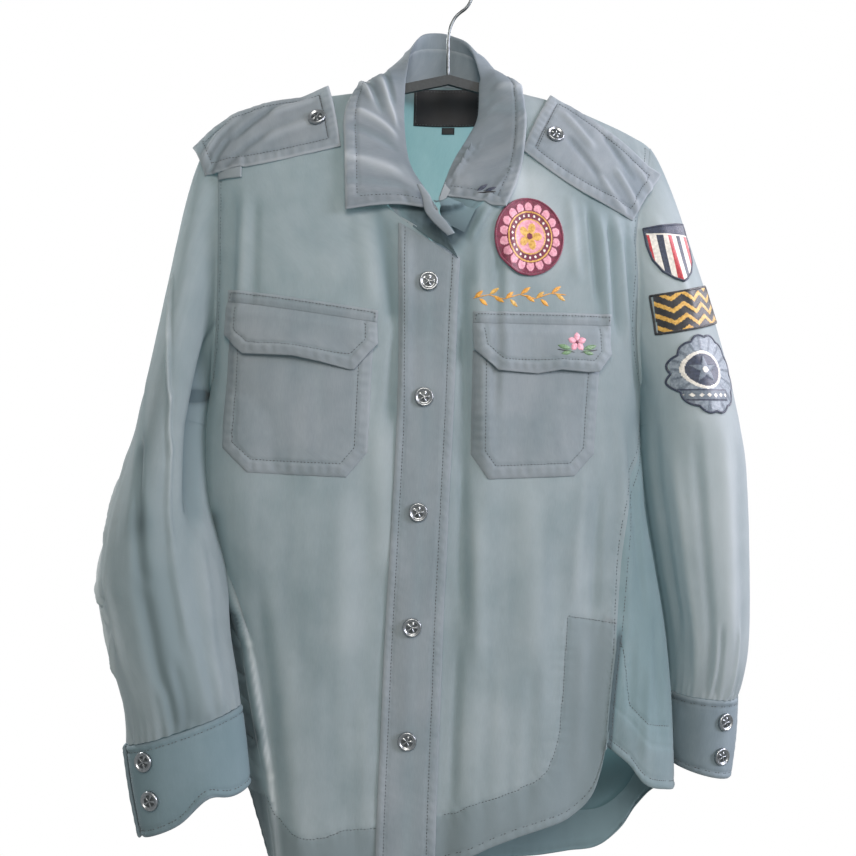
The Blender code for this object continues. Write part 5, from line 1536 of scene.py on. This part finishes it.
def tube(points, radius, sides=8, closed=False, notch=0.0, pitch=1.3):
    """Round cord along points; notch gives it the twist of wound thread."""
    pts = np.array(points, float)
    ahead = np.roll(pts, -1, 0) - np.roll(pts, 1, 0)
    if not closed:
        ahead[0], ahead[-1] = pts[1] - pts[0], pts[-1] - pts[-2]
    ahead /= np.linalg.norm(ahead, axis=-1, keepdims=True)
    frame_n = np.zeros_like(pts)
    ref = np.array([0.0, -1.0, 0.0]) if abs(ahead[0][1]) < 0.9 else np.array([0.0, 0.0, 1.0])
    for k in range(len(pts)):
        ref = ref - ahead[k] * ref.dot(ahead[k])
        ref = ref / np.linalg.norm(ref)
        frame_n[k] = ref
    side = np.cross(ahead, frame_n)
    run = lengths(pts)
    ang = np.arange(sides) * 2 * PI / sides
    swell = 1 + notch * np.sin(2 * PI * run[:, None] / pitch + ang[None])
    rad = (radius * swell)[..., None]
    rings = pts[:, None] + rad * (frame_n[:, None] * np.cos(ang)[None, :, None]
                                  + side[:, None] * np.sin(ang)[None, :, None])
    verts = rings.reshape(-1, 3)
    faces = grid_faces(len(pts), sides, True)
    k = np.arange(sides)
    following = (k + 1) % sides
    if closed:
        last = (len(pts) - 1) * sides
        return verts, np.concatenate([faces, np.stack([last + k, k, following, last + following], -1)])
    count = len(verts)
    last = count - sides
    caps = ([[int(a), int(b), count] for a, b in zip(k, following)]
            + [[int(b), int(a), count + 1] for a, b in zip(k + last, following + last)])
    return np.concatenate([verts, pts[:1], pts[-1:]]), faces.tolist() + caps


# Rayon embroidery thread: glossier than the cloth, each colour with its own light and dark side
RAYON = {key: thread_material("rayon_" + key, dark, light, 0.42, 0.3, 0.55) for key, dark, light in (
    ("maroon", "#5d1830", "#7d2744"), ("pink", "#c98496", "#e0a3b1"), ("gold", "#b98a35", "#dcb25a"),
    ("ivory", "#cfcbc2", "#e8e4da"), ("red", "#9d2430", "#c03a42"), ("navy", "#20293b", "#343f55"),
    ("black", "#17181b", "#26282c"), ("grey", "#6f7b86", "#8f9aa4"), ("steel", "#55616d", "#6c7883"),
    ("green", "#4d6f4a", "#6f9168"), ("orange", "#c8872a", "#e3a843"))}


PATCH_RIM = 1.15


def patch_piece(name, outline, place, pattern, colours, rim_colour, cell=0.55):
    """An embroidered patch: raised thread fields on a ground, and an overlocked rim."""
    pts = np.array(outline, float)
    lo, hi = pts.min(0), pts.max(0)
    u, v = np.meshgrid(np.arange(lo[0] - cell, hi[0] + 2 * cell, cell),
                       np.arange(lo[1] - cell, hi[1] + 2 * cell, cell))
    keep = inside_outline(u, v, outline)
    colour, high = pattern(u, v)
    gap, _ = line_field(u, v, outline, True)
    high = high * np.clip(gap / 1.2, 0, 1)
    pos = place(u, v, blurred(high))
    faces = grid_faces(*u.shape)
    middle = colour[:-1, :-1].ravel()
    good = (keep[:-1, :-1] & keep[1:, :-1] & keep[1:, 1:] & keep[:-1, 1:]).ravel()
    faces, middle = faces[good], middle[good]
    used, inverse = np.unique(faces, return_inverse=True)
    verts = pos.reshape(-1, 3)[used]
    faces = inverse.reshape(-1, 4)
    line = densify(outline, 0.42, True)[:-1]
    rim_pts = place(line[:, 0], line[:, 1], np.full(len(line), -0.25))
    rim_verts, rim_faces = tube(rim_pts, PATCH_RIM, 8, True, 0.13, 1.25)
    mats = [RAYON[c] for c in colours] + [RAYON[rim_colour]]
    verts = np.concatenate([verts, rim_verts])
    all_faces = faces.tolist() + (np.array(rim_faces) + len(used)).tolist()
    face_mats = np.concatenate([middle, np.full(len(rim_faces), len(mats) - 1)])
    piece = new_piece(name + "_embroidered", verts, all_faces, mats, face_mats=face_mats)
    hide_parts(name)


def polar(count, point):
    return [point(2 * PI * k / count) for k in range(count)]


def chest_pattern(u, v):
    """Maroon ground, pink petals, a dotted gold ring and a flower in the middle."""
    u, v = u / CHEST_PATCH[2], v / CHEST_PATCH[3]
    r, t = np.hypot(u, v), np.arctan2(v, u)
    colour, high = np.zeros(r.shape, int), np.full(r.shape, 0.1)
    wave = np.abs(np.sin(t * 9))
    petal = (r > 0.70) & (r < 0.70 + 0.205 * wave ** 0.5) & (wave > 0.3)
    colour[petal], high[petal] = 1, 0.5
    ring = ((r > 0.635) & (r < 0.675)) | ((r > 0.44) & (r < 0.475))
    colour[ring], high[ring] = 2, 0.45
    spot_t = (t * 22 / (2 * PI)) % 1 - 0.5
    dots = np.hypot(spot_t * 2 * PI / 22 * 0.555, r - 0.555) < 0.034
    colour[dots], high[dots] = 3, 0.5
    disc = r < 0.44
    colour[disc], high[disc] = 1, 0.35
    flower = r < 0.13 + 0.23 * np.abs(np.cos(2.5 * t)) ** 0.8
    colour[flower], high[flower] = 2, 0.75
    heart = r < 0.085
    colour[heart], high[heart] = 0, 0.85
    return colour, high


cx, cd, rx, rd = CHEST_PATCH
patch_piece("chest_patch", polar(72, lambda t: (rx * math.cos(t), rd * math.sin(t))),
            lambda u, v, h: front(cx + u, cd + v, 2.5 + h), chest_pattern,
            ["maroon", "pink", "gold", "ivory"], "maroon")

SLEEVE_LOOK = Vector((-0.45, 0.893, 0.0))
SLEEVE_ACROSS = Vector((0.893, 0.45, 0.0))
sleeve_tree = tree_of(sleeves["sleeve_left"], ring=(0,))


def sleeve_place(s0, d0):
    """Places flat shapes on the viewer's right sleeve, from a middle across and down."""
    def place(u, v, h):
        out = np.zeros(np.shape(u) + (3,))
        depth = np.zeros(np.shape(u))
        for k in np.ndindex(*np.shape(u)):
            across = SLEEVE_ACROSS * (s0 + u[k])
            start = across + Vector((0, 0, -(d0 + v[k]))) - SLEEVE_LOOK * OUTSIDE
            point = sleeve_tree.ray_cast(start, SLEEVE_LOOK)[0]
            depth[k] = np.nan if point is None else (point - across).dot(SLEEVE_LOOK)
        if depth.ndim == 2:
            depth = np.where(np.isnan(depth), np.nanmax(depth), depth)
            # a stiff patch bridges the small creases under it
            for _ in range(30):
                depth = np.minimum(depth, blurred(depth, 0))
        depth = depth - 1.7 - h
        for k in np.ndindex(*np.shape(u)):
            out[k] = SLEEVE_ACROSS * (s0 + u[k]) + Vector((0, 0, -(d0 + v[k]))) + SLEEVE_LOOK * depth[k]
        return out
    return place


def shield_pattern(u, v):
    """Upright red, ivory and navy stripes under a plain band."""
    band = np.floor((u + 24.0) / 4.8).astype(int) % 4
    colour = np.array([0, 1, 2, 1])[band]
    high = np.where(colour == 1, 0.2, 0.5)
    top = v < -17.5
    colour = np.where(top, 2, colour)
    high = np.where(top, 0.35, high)
    line = np.abs(v + 17.0) < 0.9
    return np.where(line, 1, colour), np.where(line, 0.6, high)


def chevron_pattern(u, v):
    """Gold chevrons on black, pointing up."""
    wave = (v + 0.75 * np.abs(((u + 30) % 20) - 10)) % 11.0
    gold = wave < 4.2
    return np.where(gold, 1, 0), np.where(gold, 0.55, 0.15)


def badge_pattern(u, v):
    """Grey scalloped ground, a star in a pale ring, rays round it and a dotted ribbon below."""
    u = u + 6.5
    r, t = np.hypot(u, v + 4), np.arctan2(v + 4, u)
    colour, high = np.zeros(r.shape, int), np.full(r.shape, 0.15)
    ray = (np.abs(np.sin(8 * t)) < 0.4) & (r > 17.5)
    colour[ray], high[ray] = 3, 0.4
    ring = np.abs(r - 16) < 1.3
    colour[ring], high[ring] = 2, 0.5
    inner = r < 14.7
    colour[inner] = 1
    point = np.abs(((t + PI / 2) * 5 / (2 * PI)) % 1 - 0.5) * 2
    star = r < 4.8 / np.maximum(0.36, 1 - 0.62 * point)
    colour[star], high[star] = 3, 0.65
    mid = r < 2.6
    colour[mid], high[mid] = 2, 0.8
    ribbon = (np.abs(v - 19) < 5.2) & (np.abs(u) < 21)
    colour[ribbon], high[ribbon] = 1, 0.5
    ribbon = (np.abs(v - 19) < 3.8) & (np.abs(u) < 20)
    colour[ribbon], high[ribbon] = 3, 0.65
    drop = ribbon & (np.abs(np.mod(u + 3, 6) - 3) + np.abs(v - 19) < 2.0)
    colour[drop], high[drop] = 2, 0.7
    return colour, high


SHIELD = rows_of("""
    -21 -22; -10 -24.5; 0 -26; 10 -27.5; 21 -28.5; 21 -6; 19 8; 13 19; 6 25; 0 28; -7 25; -15 19; -20 8;
    -21.5 -6""")
RECTANGLE = [(-30, -12), (29, -23.5), (33.5, 10.5), (-29, 23.5)]
SCALLOPED = polar(96, lambda t: ((27.0 + 2.2 * abs(math.sin(6 * t))) * math.cos(t),
                                 (33.5 + 2.4 * abs(math.sin(6 * t))) * math.sin(t)))
for name, outline, middle, pattern, colours, rim_colour in (
        ("sleeve_patch_top", SHIELD, (170, 268), shield_pattern, ["red", "ivory", "navy"], "navy"),
        ("sleeve_patch_middle", RECTANGLE, (175, 322), chevron_pattern, ["black", "gold"], "black"),
        ("sleeve_patch_low", SCALLOPED, (177.5, 382), badge_pattern, ["grey", "navy", "ivory", "steel"],
         "navy")):
    patch_piece(name, outline, sleeve_place(*middle), pattern, colours, rim_colour, 0.7)


def satin(name, shapes, place, high=0.75):
    """Satin-stitched leaves and petals: (from, to, width, colour) on a surface."""
    verts, faces, face_mats = [], [], []
    names = sorted({s[3] for s in shapes})
    for (x0, y0), (x1, y1), width, key in shapes:
        t, w = np.meshgrid(np.linspace(0.0, 1.0, 15), np.linspace(-1, 1, 9), indexing="ij")
        dx, dy = x1 - x0, y1 - y0
        size = math.hypot(dx, dy)
        spread = width / 2 * np.sin(PI * np.clip(t, 0.02, 0.98)) ** (0.75 if width > 1.6 else 0.2) * w
        u, v = x0 + dx * t - dy / size * spread, y0 + dy * t + dx / size * spread
        h = high * np.sqrt(np.maximum(0, 1 - w * w)) * np.sin(PI * np.clip(t, 0.04, 0.96)) ** 0.35 - 0.12
        base = len(verts)
        verts += place(u, v, h).reshape(-1, 3).tolist()
        add = grid_faces(15, 9) + base
        faces += add.tolist()
        face_mats += [names.index(key)] * len(add)
    new_piece(name, verts, faces, [RAYON[k] for k in names], face_mats=face_mats)


def on_host(tree):
    """Places flat shapes, in x and down, on a surface."""
    def place(u, v, h):
        out = np.zeros(np.shape(u) + (3,))
        for k in np.ndindex(*np.shape(u)):
            point, n = from_front(tree, u[k], v[k])
            out[k] = point + n * (0.15 + h[k])
        return out
    return place


SPRIG = []
stem = [(12.8, 318.0), (26, 315.0), (40, 318.5), (54, 314.0), (68, 317.5), (82, 312.5), (96.5, 313.5)]
for (x0, y0), (x1, y1) in zip(stem[:-1], stem[1:]):
    SPRIG.append(((x0, y0), (x1, y1), 1.1, "orange"))
for k, (x, y) in enumerate(stem[:-1]):
    for side in (-1, 1):
        lean = 7.0 + 1.5 * (k % 2)
        SPRIG.append(((x + 3 + 2 * side, y + 0.4 * side), (x + 3 + 2 * side + lean, y + side * 6.4), 3.6,
                      "orange" if (k + side) % 3 else "gold"))
satin("sprig_embroidery", SPRIG, on_host(panel_tree["front_left"]))
FLOWER = []
fx, fd = 105.0, 355.5
for k in range(5):
    t = 2 * PI * k / 5 - PI / 2
    FLOWER.append(((fx + 1.2 * math.cos(t), fd + 1.2 * math.sin(t)),
                   (fx + 8.6 * math.cos(t), fd + 8.6 * math.sin(t)), 5.6, "pink"))
for side in (-1, 1):
    FLOWER += [((fx + 6 * side, fd + 6), (fx + 18 * side, fd + 3), 4.4, "green"),
               ((fx + 5 * side, fd + 8), (fx + 15 * side, fd + 10.5), 4.0, "green"),
               ((fx + 3 * side, fd + 9.0), (fx + 18.5 * side, fd + 6.6), 1.0, "black")]
FLOWER.append(((fx - 1.8, fd), (fx + 1.8, fd), 3.6, "maroon"))
satin("flower_embroidery", FLOWER, on_host(laid_tree["flap_left"]))
spot = seen(*LEAF_PIXEL, fall_tree)
LEAF = [((spot.x - 8.0, -spot.z + 2.5), (spot.x + 1.5, -spot.z - 3.5), 3.6, "navy"),
        ((spot.x - 1.0, -spot.z + 2.8), (spot.x + 8.5, -spot.z - 0.5), 3.4, "navy"),
        ((spot.x - 7.0, -spot.z + 4.8), (spot.x + 8.0, -spot.z + 3.6), 1.0, "black")]
satin("leaf_embroidery", LEAF, on_host(fall_tree), 1.1)

# Woven label and its tab: black satin, matt ground with a ribbed edge
label_mat, label_shader, place = start_material("woven_label_satin")
ribs = node(label_mat, WAVE, {"Vector": place["UV"], "Scale": WAVE_PERIOD / (0.7 * MM), "Distortion": 0.4},
            bands_direction="Y")
relief = node(label_mat, BUMP, {"Strength": 0.5, "Distance": 0.0003, "Height": ribs.outputs["Fac"]})
shade = node(label_mat, NOISE, {"Vector": place["Object"], "Scale": 60.0})
tint = node(label_mat, RAMP, {0: shade.outputs["Fac"]}, [(0.3, "#141418"), (0.7, "#24242a")])
node(label_mat, label_shader, {"Base Color": tint.outputs[0], "Normal": relief.outputs[0], "Roughness": 0.5})
for name, (x0, x1, d0, d1) in (("neck_label", LABEL), ("size_tab", SIZE_TAB)):
    x, down = np.meshgrid(np.arange(x0, x1 + 0.5, 1.0), np.arange(d0, d1 + 0.5, 1.0))
    a = arc_at(down, x, "B")
    n = -body_normal(a, down)
    n = np.where(n[..., 1:2] > 0, -n, n)
    grid = settled(body(a, down) + n * 1.6, panel_tree["back"], 1.3, FRONT, rounds=2)
    gap, _ = quad_field(grid, "LRTB")
    grid = grid + n * (0.25 * noise(x / 22, down / 18, 211) - 0.35 * np.exp(-(gap / 0.8) ** 2))[..., None]
    piece = lay(name + "_woven", rimmed(grid, n, [(0.2, 0.3), (0.1, 0.8)]), label_mat)
    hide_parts(name)
    if name == "neck_label":
        sew(name, inset_path(grid, "LBRT", 1.6), tree_of(grid), FRONT, closed=True)

# Domed shank buttons: nickel-plated zinc, satin on the rim, dark in the hollows
METAL = hard_material("nickel_plated_zinc", "#8d9194", "#b2b6b9", 700.0, 4.0, 0.3, 1.0, 0.12)
PATINA = hard_material("darkened_zinc", "#3f4345", "#63686a", 500.0, 3.0, 0.45, 0.8)
BUTTON_SIDES, BUTTON_LIFT, PETALS = 60, 0.3, 5
# Half section of a button, from its middle over the rim to its underside
BUTTON_RADII = np.array([0.0, 0.9, 1.8, 2.7, 3.6, 4.4, 5.1, 5.7, 6.2, 6.8, 7.4, 7.9, 8.15, 8.2, 8.0, 7.2,
                         5.0])
BUTTON_HEIGHTS = np.array([2.6, 2.55, 2.4, 2.2, 2.05, 2.0, 2.0, 2.1, 2.6, 3.05, 3.1, 2.7, 2.0, 1.2, 0.5, 0.0,
                           0.0])


def button(name, tree, x, down):
    """One domed shank button with a rolled rim and a raised rosette in its hollow."""
    point, n = from_front(tree, x, down)
    axis = n.to_track_quat("Z", "Y").to_matrix()
    t = np.arange(BUTTON_SIDES) * 2 * PI / BUTTON_SIDES
    r, turn_at = np.meshgrid(BUTTON_RADII, t, indexing="ij")
    petals = np.clip(np.cos(PETALS * turn_at), 0, 1)
    h = BUTTON_HEIGHTS[:, None] + 0.75 * petals * np.exp(-((r - 2.9) / 1.3) ** 2) * (r < 5.2)
    local = np.stack([r * np.cos(turn_at), r * np.sin(turn_at), h], -1).reshape(-1, 3)
    verts = local @ np.array(axis).T + np.array(point + n * BUTTON_LIFT)
    ring_r = ((BUTTON_RADII[:-1] + BUTTON_RADII[1:]) / 2)[:, None]
    between = np.cos(PETALS * (t + PI / 60))[None] < 0.35
    dark = ((ring_r > 0.5) & (ring_r < 5.3) & between).ravel()
    piece = new_piece(name + "_metal", verts, grid_faces(len(BUTTON_RADII), BUTTON_SIDES, True),
                      [METAL, PATINA], face_mats=dark.astype(int))
    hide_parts(name)


for k, down in enumerate(FRONT_BUTTONS):
    x = smooth(BODY, down, 5) - 0.4 - 1.4 * min(1.0, (down - 300) / 100)
    button(f"button_front_{k + 1}", band_tree, x, down)
for host, x, down in STRAP_BUTTONS:
    button(f"button_{host}", tree_of(straps[host]), x, down)
for k, (host, x, down) in enumerate(CUFF_BUTTONS):
    button(f"button_{host}_{k % 2 + 1}", tree_of(cuffs[host]), x, down)

# Hanger: bright wire hook and a dark painted steel bar
WIRE = hard_material("galvanised_steel_wire", "#4e5254", "#6a6f71", 300.0, 3.0, 0.3, 1.0)
PAINT = hard_material("painted_steel_bar", "#24292b", "#2f3537", 400.0, 2.0, 0.6, relief=0.2)
hook = [(0, 101.5), (0, 78), (0.3, 66), (2.6, 55), (7.0, 46.5)]
for ang in range(-58, 206, 4):
    t = math.radians(ang)
    hook.append((HOOK_RADIUS * math.cos(t), HOOK_CENTRE - HOOK_RADIUS * math.sin(t)))
line = densify(spline_rows([[x, 0.0, -d] for x, d in hook], [3] * (len(hook) - 1)), 1.2)
verts, faces = tube(line, WIRE_RADIUS, 12)
piece = new_piece("hanger_hook_wire", verts, faces, [WIRE])
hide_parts("hanger_hook")
for obj in bpy.data.objects:
    if obj.name.split(".")[0] == "hanger_bar":
        for slot in obj.material_slots:
            slot.material = PAINT

# Sewing threads, one piece for each host
for host, stitches in SEWN.items():
    verts = np.array([[list(p) for p in s] for s in stitches]).reshape(-1, 3)
    faces = (STITCH_FACES[None] + np.arange(len(stitches))[:, None, None] * 6).reshape(-1, 3)
    new_piece("stitches_" + host, verts, faces, [SEWING_THREAD])

# The flat size each cloth piece was cut to, in metres, and its area where the outline isn't a rectangle
CUT_SIZES = {
    "front_left": (0.30, 0.66, 0.132), "front_right": (0.29, 0.70, 0.134), "back": (0.55, 0.74, 0.345),
    "sleeve_left": (0.42, 0.53, 0.150), "sleeve_right": (0.42, 0.53, 0.150), "cuff_left": (0.25, 0.07, None),
    "cuff_right": (0.25, 0.07, None), "collar_stand": (0.44, 0.038, None), "collar_fall": (0.50, 0.09, None),
    "placket_band": (0.052, 0.55, None), "pocket_left": (0.118, 0.112, None),
    "pocket_right": (0.13, 0.125, None), "flap_left": (0.131, 0.048, None),
    "flap_right": (0.138, 0.052, None),
    "flap_band_left": (0.134, 0.019, None), "flap_band_right": (0.140, 0.019, None),
    "strap_left": (0.14, 0.07, None), "strap_right": (0.14, 0.062, None), "loop_right": (0.024, 0.022, None),
}
for name, (wide, long, area) in CUT_SIZES.items():
    piece = bpy.data.objects[name + "_cloth"]
    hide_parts(name)

# Camera and light
camera_data = bpy.data.cameras.new("photo_camera")
camera_data.lens, camera_data.sensor_width = SENSOR * FOCAL_PIXELS / FRAME_PIXELS, SENSOR
camera = bpy.data.objects.new("photo_camera", camera_data)
bpy.context.scene.collection.objects.link(camera)
camera.location = camera_place
camera.rotation_euler = (PI / 2, 0.0, VIEW_TURN)
bpy.context.scene.camera = camera


def lamp(name, place, target, size, watts, colour="#ffffff"):
    data = bpy.data.lights.new(name, "AREA")
    data.shape, data.size, data.energy, data.color = "DISK", size, watts, linear(colour)[:3]
    obj = bpy.data.objects.new(name, data)
    bpy.context.scene.collection.objects.link(obj)
    obj.location = place
    obj.rotation_euler = (Vector(target) - Vector(place)).to_track_quat("-Z", "Y").to_euler()


lamp("soft_key", (-0.2, -2.3, 0.7), (0, 0, -0.4), 1.2, 38, "#fff7ee")
lamp("soft_fill", (2.2, -1.6, 0.2), (0.1, 0, -0.45), 1.1, 56, "#f4f2ff")
lamp("back_glow", (0.25, 1.6, 0.45), (0, 0, -0.2), 1.3, 24, "#f2fbff")
lamp("edge_left", (-1.5, 1.2, 0.8), (-0.25, 0, -0.4), 0.6, 40)
lamp("edge_right", (1.9, 0.2, 0.6), (0.2, 0, -0.4), 0.7, 40, "#f6f2ff")
world = bpy.data.worlds.new("pale_studio")
bpy.context.scene.world = world
world.use_nodes = True
dim = node(world, world.node_tree.nodes["Background"], {"Color": linear("#f2f5f6"), "Strength": 0.42})
plain = node(world, "ShaderNodeBackground", {"Color": (1, 1, 1, 1), "Strength": 1.0})
to_camera = node(world, "ShaderNodeLightPath").outputs["Is Camera Ray"]
both = node(world, "ShaderNodeMixShader", {0: to_camera, 1: dim.outputs[0], 2: plain.outputs[0]})
node(world, world.node_tree.nodes["World Output"], {"Surface": both.outputs[0]})
bpy.context.scene.view_settings.view_transform = "Standard"
